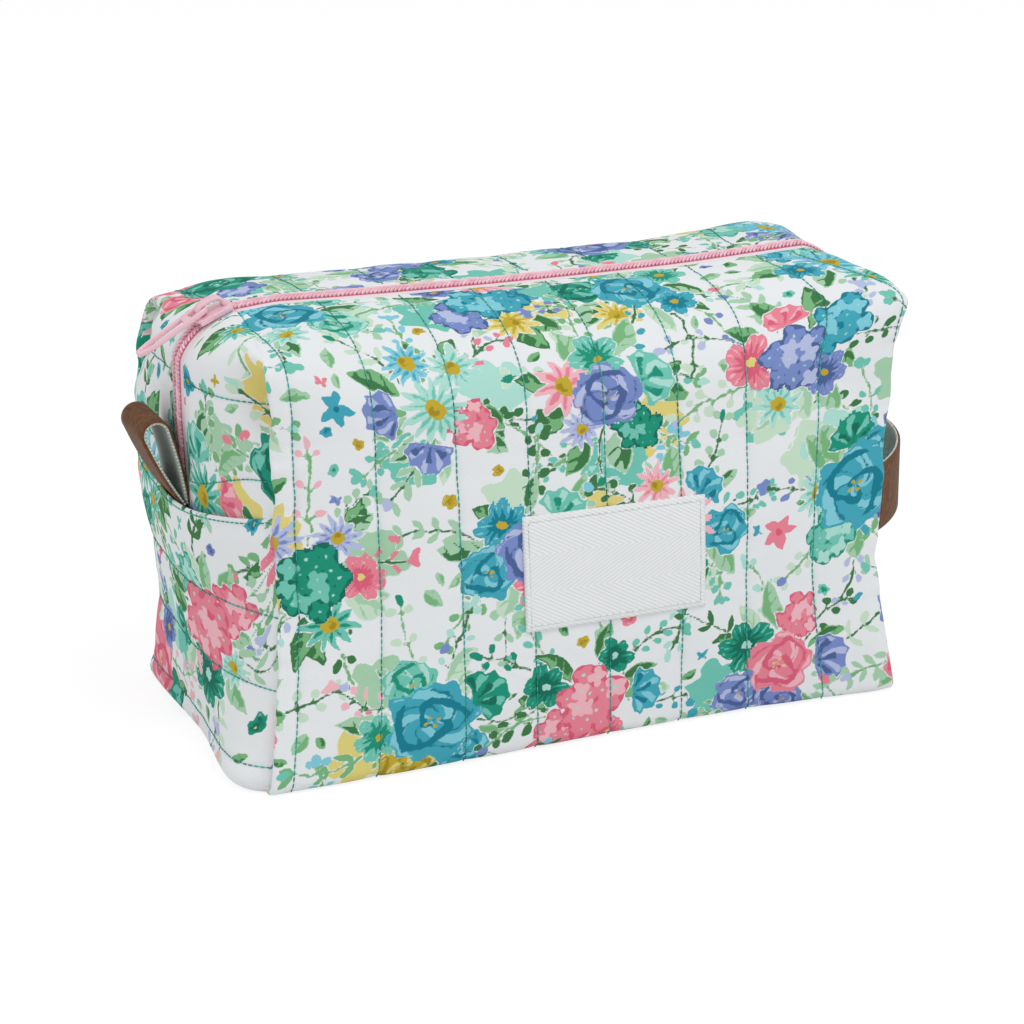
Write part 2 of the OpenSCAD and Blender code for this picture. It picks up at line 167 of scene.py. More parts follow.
def blossom(size, petals, light, mid, dark, heart):
    p = painter.uniform(0, 6.28, 5)

    def motif(x, y):
        r, a = np.hypot(x, y), np.arctan2(y, x)
        wave = np.abs(np.cos(petals * (a + p[0]) / 2))
        rim = size * (0.55 + 0.45 * wave ** 0.6 - 0.1 * np.exp(-((1 - wave) * 60) ** 2)
                      + 0.05 * np.sin(3 * a + p[1]))
        base = (r - rim) * 0.8
        f = r / size
        streak = np.sin(4.3 * petals * a + p[2] + 1.5 * f)
        pale = np.maximum((0.15 + 0.9 * np.abs(f - 0.74) - 0.5 * streak) * size / 7, base + 0.3)
        deep = np.maximum((1.5 * f - 0.72 - 0.45 * np.sin(3.1 * petals * a + p[3])) * size / 6, base + 0.4)
        part = np.maximum((wave - 0.12 - 0.1 * f) * size / 3, np.maximum(base + 0.2, 0.2 * size - r))
        return [(4, base, mid), (5, pale, light), (6, np.minimum(deep, part), dark),
                (7, (r - 0.17 * size * (1 + 0.25 * np.sin(7 * a + p[4]))), heart)]
    return motif


def rose(size, light, mid, dark, heart):
    p = painter.uniform(0, 6.28, 9)

    def motif(x, y):
        r, a = np.hypot(x, y), np.arctan2(y, x)
        rim = size * (1 + 0.08 * np.sin(5 * a + p[0]) + 0.06 * np.sin(8 * a + p[1])
                      + 0.04 * np.sin(13 * a + p[2]))
        base = (r - rim) * 0.9
        f = r / size
        curl = np.sin(3 * a + 7.5 * f + p[3] + 0.8 * np.sin(2 * a + p[4]))
        fold = np.sin(2 * a - 10.5 * f + p[5] + 0.9 * np.sin(3 * a + p[6]))
        thin = np.sin(5 * a + 13 * f + p[7] + 1.2 * np.sin(2 * a + p[8]))
        pale = np.maximum((0.4 - curl) * size / 8, base + 0.05 * size)
        deep = np.maximum((0.55 - fold) * size / 10, r - 0.86 * size)
        deep = np.minimum(deep, np.maximum((0.86 - thin) * size / 10, base + 0.08 * size))
        return [(4, base, mid), (5, pale, light), (6, deep, dark),
                (7, np.maximum((0.3 - np.sin(4 * a + 9 * f + p[7])) * size / 16, r - 0.2 * size), heart)]
    return motif


def daisy(size, petals, light, mid, heart, fleck):
    spin = painter.uniform(0, 6)
    long = painter.uniform(0.82, 1.08, petals)

    def motif(x, y):
        base, shade = [], []
        for k in range(petals):
            a = spin + 2 * math.pi * k / petals
            tip = (size * long[k] * math.cos(a), size * long[k] * math.sin(a))
            base.append(blade(x, y, (0.05 * tip[0], 0.05 * tip[1]), tip, 1.35 * size / petals, 0.1, 0.55))
            b = a + 0.1
            shade.append(blade(x, y, (0.1 * tip[0], 0.1 * tip[1]),
                               (0.75 * size * math.cos(b), 0.75 * size * math.sin(b)), 0.6 * size / petals))
        base = np.minimum.reduce(base)
        r, a = np.hypot(x, y), np.arctan2(y, x)
        heart_edge = r - 0.27 * size * (1 + 0.06 * np.sin(9 * a))
        dot = oval(x, y, 0.06 * size, -0.05 * size, 0.16 * size, 0.12 * size)
        return [(4, base, light), (5, np.maximum(np.minimum.reduce(shade), base + 0.2), mid),
                (6, heart_edge, heart), (7, np.maximum(dot, -r + 0.06 * size), fleck)]
    return motif


def frilled(size, light, mid, dark, leaf):
    p = painter.uniform(0, 6.28, 6)

    def motif(x, y):
        r, a = np.hypot(x, y + 0.35 * size), np.arctan2(x, y + 0.35 * size)
        rim = size * 1.3 * (1 - 0.1 * np.abs(np.sin(6.5 * a + p[0])) - 0.22 * (a / 1.3) ** 2)
        base = np.maximum((r - rim) * 0.85, (np.abs(a) - 1.45) * np.maximum(r, 0.4))
        lit = (0.25 - np.sin(9 * a + p[1] + 2.2 * r / size)) * r / 11
        pale = np.maximum(lit, np.maximum(base + 0.5, 0.35 * size - r))
        shaded = (0.3 - np.sin(7 * a + p[2] - 1.7 * r / size)) * r / 10
        deep = np.maximum(shaded, np.maximum(base + 0.6, r - 0.85 * size))
        cup = blade(x, y, (0, -0.85 * size), (0, 0.1 * size), 0.2 * size)
        return [(4, base, mid), (5, pale, light), (6, deep, dark), (3, cup, leaf),
                (7, np.maximum(cup, y + 0.3 * size), leaf)]
    return motif


def cluster(size, light, mid, dark, heart):
    count = 15
    k = np.arange(count)
    far = size * 0.8 * np.sqrt((k + 0.4) / count)
    about = k * 2.4 + painter.uniform(0, 6)
    centre = np.stack([far * np.cos(about), 0.85 * far * np.sin(about)], 1)
    centre = centre + painter.normal(0, 0.04 * size, (count, 2))
    spin = painter.uniform(0, 6, count)

    def motif(x, y):
        mass, some, others, dots = [], [], [], []
        for i, (cx, cy) in enumerate(centre):
            turns = [spin[i] + q * math.pi / 2 for q in range(4)]
            petals = [oval(x, y, *spot(cx, cy, a, 0.13 * size), 0.13 * size, 0.1 * size, a) for a in turns]
            (some if i % 3 else others).append(np.minimum.reduce(petals))
            away = np.hypot(x - cx, y - cy)
            mass.append(away - 0.28 * size)
            dots.append(away - 0.045 * size)
        return [(4, np.minimum.reduce(mass), dark), (5, np.minimum.reduce(some), mid),
                (6, np.minimum.reduce(others), light), (7, np.minimum.reduce(dots), heart)]
    return motif


def flat_flower(size, ink, lobes):
    p = painter.uniform(0, 6.28, 3)

    def motif(x, y):
        r, a = np.hypot(x, y), np.arctan2(y, x)
        rim = size * (0.86 + 0.14 * np.cos(lobes * a + p[0]) + 0.05 * np.cos(3 * a + p[1])
                      + 0.04 * np.cos(11 * a + p[2]))
        return [(4, (r - rim) * 0.85, ink)]
    return motif


def star_flower(size, ink, dark, petals):
    spin = painter.uniform(0, 6)

    def motif(x, y):
        base = []
        for k in range(petals):
            a = spin + 2 * math.pi * k / petals + 0.25 * math.sin(2.3 * k)
            base.append(blade(x, y, (0, 0), (size * math.cos(a), size * math.sin(a)), 0.27 * size, 0.15, 0.7))
        base = np.minimum.reduce(base)
        return [(4, base, ink), (6, np.hypot(x, y) - 0.16 * size, dark)]
    return motif


def leaf(long, width, ink, rib, bend):
    def motif(x, y):
        f = np.clip(x / long, 0, 1)
        middle = y - bend * long * f * (1 - f)
        body = blade(x, y, (0, 0), (long, 0), width, bend)
        vein = np.abs(np.sin((x - 0.9 * np.abs(middle)) * 2.6 / width))
        veined = np.where(middle < 0, middle + 0.15, (vein - 0.35) * 0.6 * width)
        return [(2, body, ink), (3, np.maximum(body + 0.12 * width, veined), rib)]
    return motif


def sprig(long, bend, leaf_ink, stem_ink, bud_ink, pairs):
    kind = painter.integers(0, 3)
    jitter = painter.uniform(-0.25, 0.25, 2 * pairs + 2)

    def motif(x, y):
        line = arc_points((0, 0), (long, 0), bend)
        stalk = stem(x, y, line, 0.75)
        leaves, buds = [], []
        for k in range(pairs):
            f = (k + 0.7) / pairs
            at = line[min(13, int(f * 13))]
            for side in (-1, 1):
                a = side * (0.8 + jitter[2 * k]) + bend * (0.5 - f)
                out = 2.6 + 1.8 * (1 - f)
                end = spot(*at, a, out)
                if kind == 0:
                    leaves.append(oval(x, y, *end, 1.5, 1.25, a))
                elif kind == 1:
                    leaves.append(blade(x, y, at, spot(*at, a, 1.7 * out), 1.05, 0.2 * side))
                else:
                    buds.append(oval(x, y, *end, 1.35, 1.0, a))
                stalk = np.minimum(stalk, stem(x, y, [at, end], 0.55))
        buds.append(oval(x, y, *line[-1], 1.8, 1.2))
        parts = [(1, stalk, stem_ink), (4, np.minimum.reduce(buds), bud_ink)]
        if leaves:
            parts.append((2, np.minimum.reduce(leaves), leaf_ink))
        return parts
    return motif


families = [
    ("pale_mint", "mint", "emerald", "mustard"), ("aqua", "turquoise", "teal", "mustard"),
    ("light_pink", "pink", "deep_pink", "yellow"), ("light_periwinkle", "periwinkle", "slate", "mustard"),
    ("mint", "emerald", "deep_emerald", "pale_mint"), ("yellow", "mustard", "ochre", "dark_green"),
]
greens = [
    ("light_green", "green"), ("green", "dark_green"), ("light_green", "green"),
    ("pale_green", "light_green"), ("dark_green", "green"), ("light_green", "dark_green"),
]


def paint_flower(u, v, turn, size, family):
    light, mid, dark, heart = family
    pick = painter.integers(0, 6)
    reach = 1.6 * size
    if pick == 0:
        motif = blossom(size, painter.integers(5, 7), light, mid, dark, heart)
    elif pick == 1:
        reach = 1.7 * size
        motif = cluster(size * 1.1, light, mid, dark, "pale_mint")
    elif pick == 2:
        motif = daisy(size * 1.1, painter.integers(9, 13), light, mid, "mustard", "ochre")
    elif pick == 3:
        turn, reach = turn - 1.57, 2.0 * size
        motif = frilled(size, light, mid, dark, "green")
    else:
        motif = rose(size, light, mid, dark, heart)
    paint(u, v, turn, reach, motif)


def paint_bouquet(u, v, n):
    first, second, third = (families[i] for i in painter.permutation(5)[:3])
    for _ in range(2):
        a, far = painter.uniform(0, 6.28), painter.uniform(16, 21)
        size, ink = painter.uniform(7.5, 11), pale_inks[painter.integers(0, 6)]
        paint(*spot(u, v, a, far), a, 20, flat_flower(size, ink, painter.integers(5, 8)))
    for k in range(7):
        a, far = k * 0.9 + painter.uniform(-0.4, 0.4), painter.uniform(8, 12)
        leaf_ink = greens[painter.integers(0, 5)][0]
        bud = families[painter.integers(0, 5)][painter.integers(0, 2)]
        stem_ink = "green" if k % 2 else "dark_green"
        long, bend, pairs = painter.uniform(17, 31), painter.uniform(-0.8, 0.8), painter.integers(3, 6)
        paint(*spot(u, v, a, far), a, 44, sprig(long, bend, leaf_ink, stem_ink, bud, pairs), 0.1)
    for k in range(9):
        a, far = k * 0.7 + painter.uniform(-0.3, 0.3), painter.uniform(7, 12)
        ink, rib = greens[painter.integers(0, 6)]
        turn = a + painter.uniform(-0.4, 0.4)
        long, width, bend = painter.uniform(11, 17), painter.uniform(2.4, 3.8), painter.uniform(-0.5, 0.5)
        paint(*spot(u, v, a, far), turn, 24, leaf(long, width, ink, rib, bend), 0.12)
    turn = painter.uniform(0, 6.28)
    for k, family in enumerate((second, third, first, families[painter.integers(0, 6)], second)):
        a, far = turn + k * 1.26 + painter.uniform(-0.25, 0.25), painter.uniform(11.5, 16)
        paint_flower(*spot(u, v, a, far), a, painter.uniform(5.8, 9.0), family)
    light, mid, dark, heart = first
    size = painter.uniform(9, 12.5)
    if n % 4 == 1:
        motif = daisy(size, 13, light, mid, "mustard", "ochre")
    elif n % 4 == 3:
        motif = cluster(size, light, mid, dark, "pale_mint")
    else:
        motif = rose(size, light, mid, dark, heart)
    paint(u, v, turn, 1.5 * size, motif)


def clear(u, v, reach):
    i, j = ((np.array([u, v]) - print_low) / print_cell).astype(int)
    k = int(reach / print_cell)
    near = ink_edge[:, max(i - k, 0):i + k, max(j - k, 0):j + k]
    return near.size > 0 and near.min() > 0.3


def scatter_print():
    column_step, row_step = 54, 46
    low, high = print_low, print_low + np.array(print_cells) * print_cell
    n, row, v = 0, 0, low[1] + 12
    while v < high[1]:
        u = low[0] + (row % 2) * column_step / 2 + painter.uniform(0, 8)
        while u < high[0]:
            paint_bouquet(u + painter.uniform(-7, 7), v + painter.uniform(-6, 6), n)
            u += column_step
            n += 1
        v += row_step
        row += 1
    for reach, tries in ((7.5, 900), (5.2, 2000), (3.6, 4000), (2.4, 5000)):
        for _ in range(tries):
            u, v = painter.uniform(low[0], high[0]), painter.uniform(low[1], high[1])
            if not clear(u, v, reach):
                continue
            family = families[painter.integers(0, 6)]
            light, mid, dark, heart = family
            a, pick = painter.uniform(0, 6.28), painter.integers(0, 6)
            ink, rib = greens[pick]
            if reach > 7:
                paint_flower(u, v, a, 6.2, family)
            elif reach > 5:
                motif = (blossom(4.6, 5, light, mid, dark, heart), star_flower(5.4, mid, dark, 5))[pick % 2]
                paint(u, v, a, 10, motif)
            elif pick < 3:
                long, bend = 2.1 * reach, painter.uniform(-0.5, 0.5)
                paint(*spot(u, v, a, -long / 2), a, 12, leaf(long, 0.26 * long, ink, rib, bend), 0.1)
            elif pick < 5:
                paint(u, v, a, 8, blossom(0.8 * reach, 5, light, mid, dark, "yellow"))
            else:
                paint(u, v, a, 8, star_flower(0.95 * reach, mid, dark, 4))


scatter_print()


def set_vectors(mesh, name, vectors, domain="POINT"):
    data = mesh.attributes.new(name, "FLOAT_VECTOR", domain).data
    data.foreach_set("vector", np.asarray(vectors, np.float32).ravel())


def cut_print(mesh, u, v):
    last = print_cells[0] - 1.001
    i = last - np.abs(last - np.abs((u + 24 - print_low[0]) / print_cell))
    j = np.clip((v - 10 - print_low[1]) / print_cell, 0, print_cells[1] - 1.001)
    corner = np.zeros(len(mesh.loops), np.int32)
    mesh.loops.foreach_get("vertex_index", corner)
    ni, nj = (np.rint(f[corner.reshape(-1, 4)].mean(1)).astype(int) for f in (i, j))
    edges = [between(edge, i, j) for edge in ink_edge]
    numbers = [ink[ni, nj] for ink in ink_of]
    for name, domain, rows in (("print_edge", "POINT", edges), ("print_ink", "FACE", numbers)):
        rows = rows + rows[-1:]
        for k in range(3):
            set_vectors(mesh, f"{name}_{k}", np.stack(rows[3 * k:3 * k + 3], 1), domain)
    set_vectors(mesh, "cloth_place", np.stack([u, v, np.zeros_like(u)], 1))


def linear(rgb):
    c = np.array(rgb, float) / 255
    return tuple(np.where(c <= 0.04045, c / 12.92, ((c + 0.055) / 1.055) ** 2.4)) + (1.0,)


def feed(node, feeds):
    for socket, value in feeds.items():
        if isinstance(value, bpy.types.NodeSocket):
            node.id_data.links.new(value, node.inputs[socket])
        else:
            node.inputs[socket].default_value = value


def add_node(tree, kind, feeds=None, **settings):
    node = tree.nodes.new(kind)
    for name, value in settings.items():
        setattr(node, name, value)
    feed(node, feeds or {})
    return node


def add_math(tree, operation, *values):
    return add_node(tree, "ShaderNodeMath", dict(enumerate(values)), operation=operation).outputs[0]


def add_mix(tree, share, first, second, blend="MIX"):
    feeds = {"Factor": share, "A": first, "B": second}
    return add_node(tree, "ShaderNodeMix", feeds, data_type="RGBA", blend_type=blend).outputs["Result"]


def add_attribute(tree, name, output="Fac"):
    return add_node(tree, "ShaderNodeAttribute", attribute_name=name).outputs[output]


def add_ramp(tree, share, stops, interpolation="LINEAR"):
    ramp = add_node(tree, "ShaderNodeValToRGB", {"Fac": share})
    ramp.color_ramp.interpolation = interpolation
    marks = ramp.color_ramp.elements
    while len(marks) < len(stops):
        marks.new(0.5)
    for i, (position, colour) in enumerate(stops):
        marks[i].position = position
        marks[i].color = colour
    return ramp.outputs["Color"]


def add_bump(tree, height, strength, distance):
    feeds = {"Strength": strength, "Distance": distance, "Height": height}
    return add_node(tree, "ShaderNodeBump", feeds).outputs["Normal"]


def new_material(name, looks):
    material = bpy.data.materials.new(name)
    material.use_nodes = True
    shader = material.node_tree.nodes["Principled BSDF"]
    feed(shader, looks)
    return material, material.node_tree, shader


def print_cloth_material():
    material, tree, shader = new_material("print_cotton", {"Roughness": 0.78, "Specular IOR Level": 0.25})
    place = add_attribute(tree, "cloth_place", "Vector")
    wobble = add_node(tree, "ShaderNodeTexNoise", {"Vector": place, "Scale": 0.9, "Detail": 3}).outputs["Fac"]
    shift = add_math(tree, "MULTIPLY_ADD", wobble, 0.7, -0.35)
    ground = add_node(tree, "ShaderNodeRGB")
    ground.outputs[0].default_value = linear((238, 241, 243))
    colour = ground.outputs[0]
    ink_share = 1 / len(inks)
    ink_stops = [(i / len(inks), linear(rgb)) for i, rgb in enumerate(inks.values())]
    for layer in range(print_layers):
        third, part = divmod(layer, 3)
        if part == 0:
            edges, numbers = (
                add_node(tree, "ShaderNodeSeparateXYZ", {0: add_attribute(tree, f"{name}_{third}", "Vector")})
                for name in ("print_edge", "print_ink"))
        edge = add_math(tree, "ADD", edges.outputs[part], shift)
        mask = add_node(tree, "ShaderNodeMapRange", {"From Min": 0.1, "From Max": -0.1, "Value": edge})
        number = add_math(tree, "MULTIPLY_ADD", numbers.outputs[part], ink_share, 0.5 / len(inks))
        colour = add_mix(tree, mask.outputs[0], colour, add_ramp(tree, number, ink_stops, "CONSTANT"))
    grain = add_node(tree, "ShaderNodeTexNoise", {"Vector": place, "Scale": 3.0, "Detail": 4}).outputs["Fac"]
    speck = add_node(tree, "ShaderNodeMapRange", {"To Min": 0.9, "To Max": 1.08, "Value": grain}).outputs[0]
    colour = add_mix(tree, 1, colour, speck, "MULTIPLY")
    feed(shader, {"Base Color": colour, "Normal": add_bump(tree, grain, 0.12, 0.0002)})
    return material


print_cotton = print_cloth_material()

# The filled bag
# One tube of quilted cloth, boxed at its corners and stuffed: the sides roll over softly and the ends bulge.
# These curves give the outside of the cloth, in millimetres, for every panel that is laid on them.
side_x = 89.0
lip_x = 83.5
lip_y = 5.7
lip_fold = 0.75
roll_z = 90.0
girth = 178.0
under_x = 84.0
under_y = 36.0
floor_gap = 0.3
least_z = 0.05
quilt_lines = np.array([-84, -61.4, -38.4, -18, 4, 25.5, 46, 68])
stitch_pitch = 1.75
stitch_size = (0.84, 0.2, 0.2)
thread_lift = 0.12
both_sides = ((-1, "front"), (1, "back"))
both_ends = ((-1, "left"), (1, "right"))


def lip_height(x):
    return 116.0 + 1.6 * (x / side_x) ** 2 - 1.5 * smooth(70, 86, -x) + 0.7 * smooth(40, 84, x)


def turn_up(start, far, radius, flat_count, turn_count):
    under = np.stack([np.linspace(start, far - radius, flat_count), np.full(flat_count, floor_gap)], 1)
    turn = np.linspace(-math.pi / 2, 0, turn_count)[1:]
    edge = np.stack([far - radius + radius * np.cos(turn), floor_gap + radius + radius * np.sin(turn)], 1)
    return np.concatenate([under, edge])


def profile_table(boxy, left_drop, right_drop):
    xs = np.linspace(-side_x, side_x, 93)
    shares = np.linspace(0, 1, 401)
    table = np.zeros((len(xs), len(shares), 2))
    rolls = np.zeros(len(xs))
    edge_r = 3.2
    for k, x in enumerate(xs):
        q = abs(x) / side_x
        low_d, high_d = 52.0 - 1.0 * q ** 4, 46.2 - 0.7 * q ** 2
        power = 2 / (boxy + ((13.0 if x > 0 else 10.0) - boxy) * q ** 8)
        low = turn_up(under_y, low_d, edge_r, 12, 30)
        up = np.linspace(0, 1, 80)[1:]
        wall = np.stack([low_d + (high_d - low_d) * up + 1.6 * (1 - q ** 4) * np.sin(np.pi * up),
                         floor_gap + edge_r + (roll_z - floor_gap - edge_r) * up], 1)
        turn = np.linspace(0, math.pi / 2, 240)[1:]
        back = np.cos(turn) ** power
        drop = (right_drop if x > 0 else left_drop) * q ** 6 * back ** 0.5
        roll = np.stack([lip_y + (high_d - lip_y) * back,
                         roll_z + (lip_height(x) - drop - roll_z) * np.sin(turn) ** power], 1)
        line = np.concatenate([low, wall, roll])
        step = np.concatenate([[0], np.cumsum(np.hypot(*np.diff(line, axis=0).T))])
        rolls[k] = step[len(low) + len(wall) - 1] / step[-1]
        table[k] = np.stack([np.interp(shares * step[-1], step, line[:, c]) for c in (0, 1)], 1)
    return xs, table, float(rolls.mean())


profile_x, front_profile, roll_share = profile_table(2.1, 3.6, 5.2)
back_profile = profile_table(3.8, 5.4, 3.6)[1]
ear_share = roll_share + 0.115


def tube(x, share, side=-1):
    table = front_profile if side < 0 else back_profile
    i = np.clip((x + side_x) / (2 * side_x) * (len(profile_x) - 1), 0, len(profile_x) - 1.001)
    return between(table, i, np.clip(share, 0, 1) * (table.shape[1] - 1.001))


def edge_x(share):
    return side_x - (side_x - lip_x) * smooth(ear_share - 0.02, 0.98, share)


def end_x(y, z, full=0):
    out = 11.0 + 0.6 * smooth(70, 90, z)
    power = 2.2 + 3.4 * smooth(34, 0, z) + full * smooth(12, 0, z)
    return 87.2 + out * (1 - np.clip(np.abs(y) / 45.5, 0, 1) ** power)


def settle(points):
    x, y, z = points[..., 0], points[..., 1], points[..., 2]
    front, back, far = smooth(8, 44, -y), smooth(8, 44, y), smooth(20, 89, np.abs(x))
    left = (front * np.interp(z, [0, 20, 45, 90, 114], [4.6, 1.6, -1.2, -2.2, -0.6])
            + back * np.interp(z, [3, 16, 43, 82, 94, 106, 111], [0.8, 1.8, 3.0, 8.2, 7.2, 4.6, 3.2]))
    right = (front * np.interp(z, [0, 24, 40, 60, 80, 98, 111], [1.6, -2.4, -4.0, -3.0, -0.6, 0.2, 5.4])
             + back * np.interp(z, [0, 60, 90, 113], [3.0, 3.0, 4.0, 6.0]))
    lean = np.interp(x, [-90, -50, 0, 50, 90], [-6.8, -3.6, 0, 2.5, -0.5])
    moved = points.copy()
    moved[..., 0] += np.where(x < 0, -left, right) * far
    moved[..., 1] += front * lean * smooth(60, 0, z)
    return moved


def end_line(d, z_top, x_top, f):
    turn = np.linspace(0, math.pi / 2, 60)
    drop = 13.0 - 7.0 * f
    power = 2 / (1.5 + 0.8 * f)
    z_turn = z_top - drop
    out = np.maximum(end_x(d, z_turn) - x_top, 0.02)
    bend = np.stack([x_top + out * np.sin(turn) ** power, z_turn + drop * np.cos(turn) ** power], 1)
    z_down = np.linspace(z_turn, 58, 60)[1:]
    wall = np.stack([x_top + out + end_x(d, z_down) - end_x(d, z_turn), z_down], 1)
    return np.concatenate([bend, wall])


def along_line(line, count):
    step = np.concatenate([[0], np.cumsum(np.linalg.norm(np.diff(line, axis=0), axis=1))])
    want = np.linspace(0, step[-1], count)
    return np.stack([np.interp(want, step, line[:, c]) for c in range(line.shape[1])], 1), want


def unit(rows):
    return rows / np.linalg.norm(rows, axis=1, keepdims=True)


def facing(points, way):
    normal = np.cross(np.gradient(points, axis=0), np.gradient(points, axis=1))
    normal = normal / np.maximum(np.linalg.norm(normal, axis=2, keepdims=True), 1e-9)
    rows, columns = points.shape[:2]
    return -normal if normal[rows // 2, columns // 2] @ np.array(way) < 0 else normal


def mesh_piece(name, points, faces, material):
    mesh = bpy.data.meshes.new(name)
    mesh.vertices.add(len(points))
    mesh.vertices.foreach_set("co", (np.asarray(points) * 0.001).astype(np.float32).ravel())
    mesh.loops.add(faces.size)
    mesh.loops.foreach_set("vertex_index", faces.ravel().astype(np.int32))
    mesh.polygons.add(len(faces))
    mesh.polygons.foreach_set("loop_start", np.arange(0, faces.size, faces.shape[1], dtype=np.int32))
    mesh.update(calc_edges=True)
    mesh.shade_smooth()
    mesh.materials.append(material)
    piece = bpy.data.objects.new(name, mesh)
    bpy.context.scene.collection.objects.link(piece)
    return piece


def quads(index):
    corners = (index[:-1, :-1], index[1:, :-1], index[1:, 1:], index[:-1, 1:])
    return np.stack([c.ravel() for c in corners], 1)


def grid_faces(rows, columns, ring=False):
    index = np.arange(rows * columns).reshape(rows, columns)
    if not ring:
        return quads(index)
    around = quads(np.concatenate([index, index[:, :1]], 1))
    i = np.arange(columns // 2 - 1)
    cap = np.stack([i, i + 1, columns - 2 - i, columns - 1 - i], 1)
    return np.concatenate([around, cap, cap[:, ::-1] + (rows - 1) * columns])


def grid_piece(name, points, material, flip=False, ring=False):
    faces = grid_faces(*points.shape[:2], ring)
    return mesh_piece(name, points.reshape(-1, 3), faces[:, ::-1] if flip else faces, material)


def set_values(mesh, name, values):
    data = mesh.attributes.new(name, "FLOAT", "POINT").data
    data.foreach_set("value", np.asarray(values, np.float32).ravel())


def above_floor(points):
    points[..., 2] = np.maximum(points[..., 2], least_z)


def line_wander(across):
    return 0.5 * swell(across / 38, np.full_like(across, 3.3), 5)


def quilted(points, along, across, lines, outward, calm):
    away = np.min(np.abs(along[..., None] - lines - line_wander(across)[..., None]), axis=-1)
    puff = 0.75 * (1 - np.exp(-away / 3.8)) - 0.3 * np.exp(-(away / 0.9) ** 2)
    pucker = 0.2 * np.exp(-away / 3.5) * swell(across / 2.6, along / 9, 8)
    drift = 0.5 * swell(along / 24, across / 31, 12) + 0.2 * swell(along / 7, across / 9, 14)
    lift = (puff * calm + pucker + drift * calm)[..., None]
    return points + outward * lift


def thread_point(at, along, cloth, outward):
    return [np.interp(at, along, cloth[:, c] + thread_lift * outward[:, c]) for c in range(3)]


def folded_lip(lip, down, side):
    rows = [lip + np.array([0, -side * lip_fold * math.sin(a), 0]) + down * lip_fold * (1 - math.cos(a))
            for a in np.linspace(0, math.pi, 6)[1:]]
    return rows + [rows[-1] + np.array([0, side * 5, 0]) + down * 0.6]


def mouth_share(piece):
    co = np.zeros(len(piece.data.vertices) * 3, np.float32)
    piece.data.vertices.foreach_get("co", co)
    x, y, z = co.reshape(-1, 3).T * 1000
    middle = np.cos(np.clip(x / 80, -1, 1) * math.pi / 2) ** 2
    return middle * smooth(44, 14, np.abs(y)) * smooth(80, 90, z)


def follow_mouth(piece):
    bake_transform(piece)
    mouth_share(piece).astype(np.float32)


def bead_tree():
    tree = bpy.data.node_groups.new("beads_along_a_line", "GeometryNodeTree")
    sockets = {}
    for name, kind in (("Line", "Geometry"), ("Step", "Float"), ("Size", "Vector"),
                       ("Slant", "Vector"), ("Seed", "Int"), ("Material", "Material")):
        socket = tree.interface.new_socket(name, in_out="INPUT", socket_type="NodeSocket" + kind)
        sockets[name] = socket.identifier
    tree.interface.new_socket("Beads", in_out="OUTPUT", socket_type="NodeSocketGeometry")
    given = add_node(tree, "NodeGroupInput").outputs
    curve = add_node(tree, "GeometryNodeMeshToCurve", {"Mesh": given["Line"]}).outputs["Curve"]
    even = add_node(tree, "GeometryNodeResampleCurve", {"Curve": curve, "Length": given["Step"]},
                    mode="LENGTH")
    points = add_node(tree, "GeometryNodeCurveToPoints", {"Curve": even.outputs["Curve"]}, mode="EVALUATED")
    aim = add_node(tree, "FunctionNodeAlignRotationToVector", {"Vector": points.outputs["Tangent"]},
                   axis="X", pivot_axis="AUTO").outputs["Rotation"]
    slant = add_node(tree, "FunctionNodeEulerToRotation", {0: given["Slant"]}).outputs[0]
    lean = add_node(tree, "FunctionNodeRotateRotation", {"Rotation": aim, "Rotate By": slant},
                    rotation_space="LOCAL").outputs["Rotation"]
    ball = {"Segments": 8, "Rings": 5, "Radius": 1}
    bead = add_node(tree, "GeometryNodeMeshUVSphere", ball).outputs["Mesh"]
    vary = add_node(tree, "FunctionNodeRandomValue", {2: 0.92, 3: 1.06, "Seed": given["Seed"]}).outputs[1]
    size = add_node(tree, "ShaderNodeVectorMath", {0: given["Size"], "Scale": vary}, operation="SCALE")
    tone = add_node(tree, "FunctionNodeRandomValue", {"Seed": given["Seed"]}).outputs[1]
    keep = add_node(tree, "GeometryNodeStoreNamedAttribute",
                    {"Geometry": points.outputs["Points"], "Name": "tone", "Value": tone},
                    data_type="FLOAT", domain="POINT").outputs["Geometry"]
    place = add_node(tree, "GeometryNodeInstanceOnPoints",
                     {"Points": keep, "Instance": bead, "Rotation": lean, "Scale": size.outputs["Vector"]})
    real = add_node(tree, "GeometryNodeRealizeInstances", {"Geometry": place.outputs["Instances"]})
    soft = add_node(tree, "GeometryNodeSetShadeSmooth", {"Geometry": real.outputs["Geometry"]})
    dress = add_node(tree, "GeometryNodeSetMaterial",
                     {"Geometry": soft.outputs["Geometry"], "Material": given["Material"]})
    add_node(tree, "NodeGroupOutput", {"Beads": dress.outputs["Geometry"]})
    return tree, sockets


beads_along, bead_sockets = bead_tree()


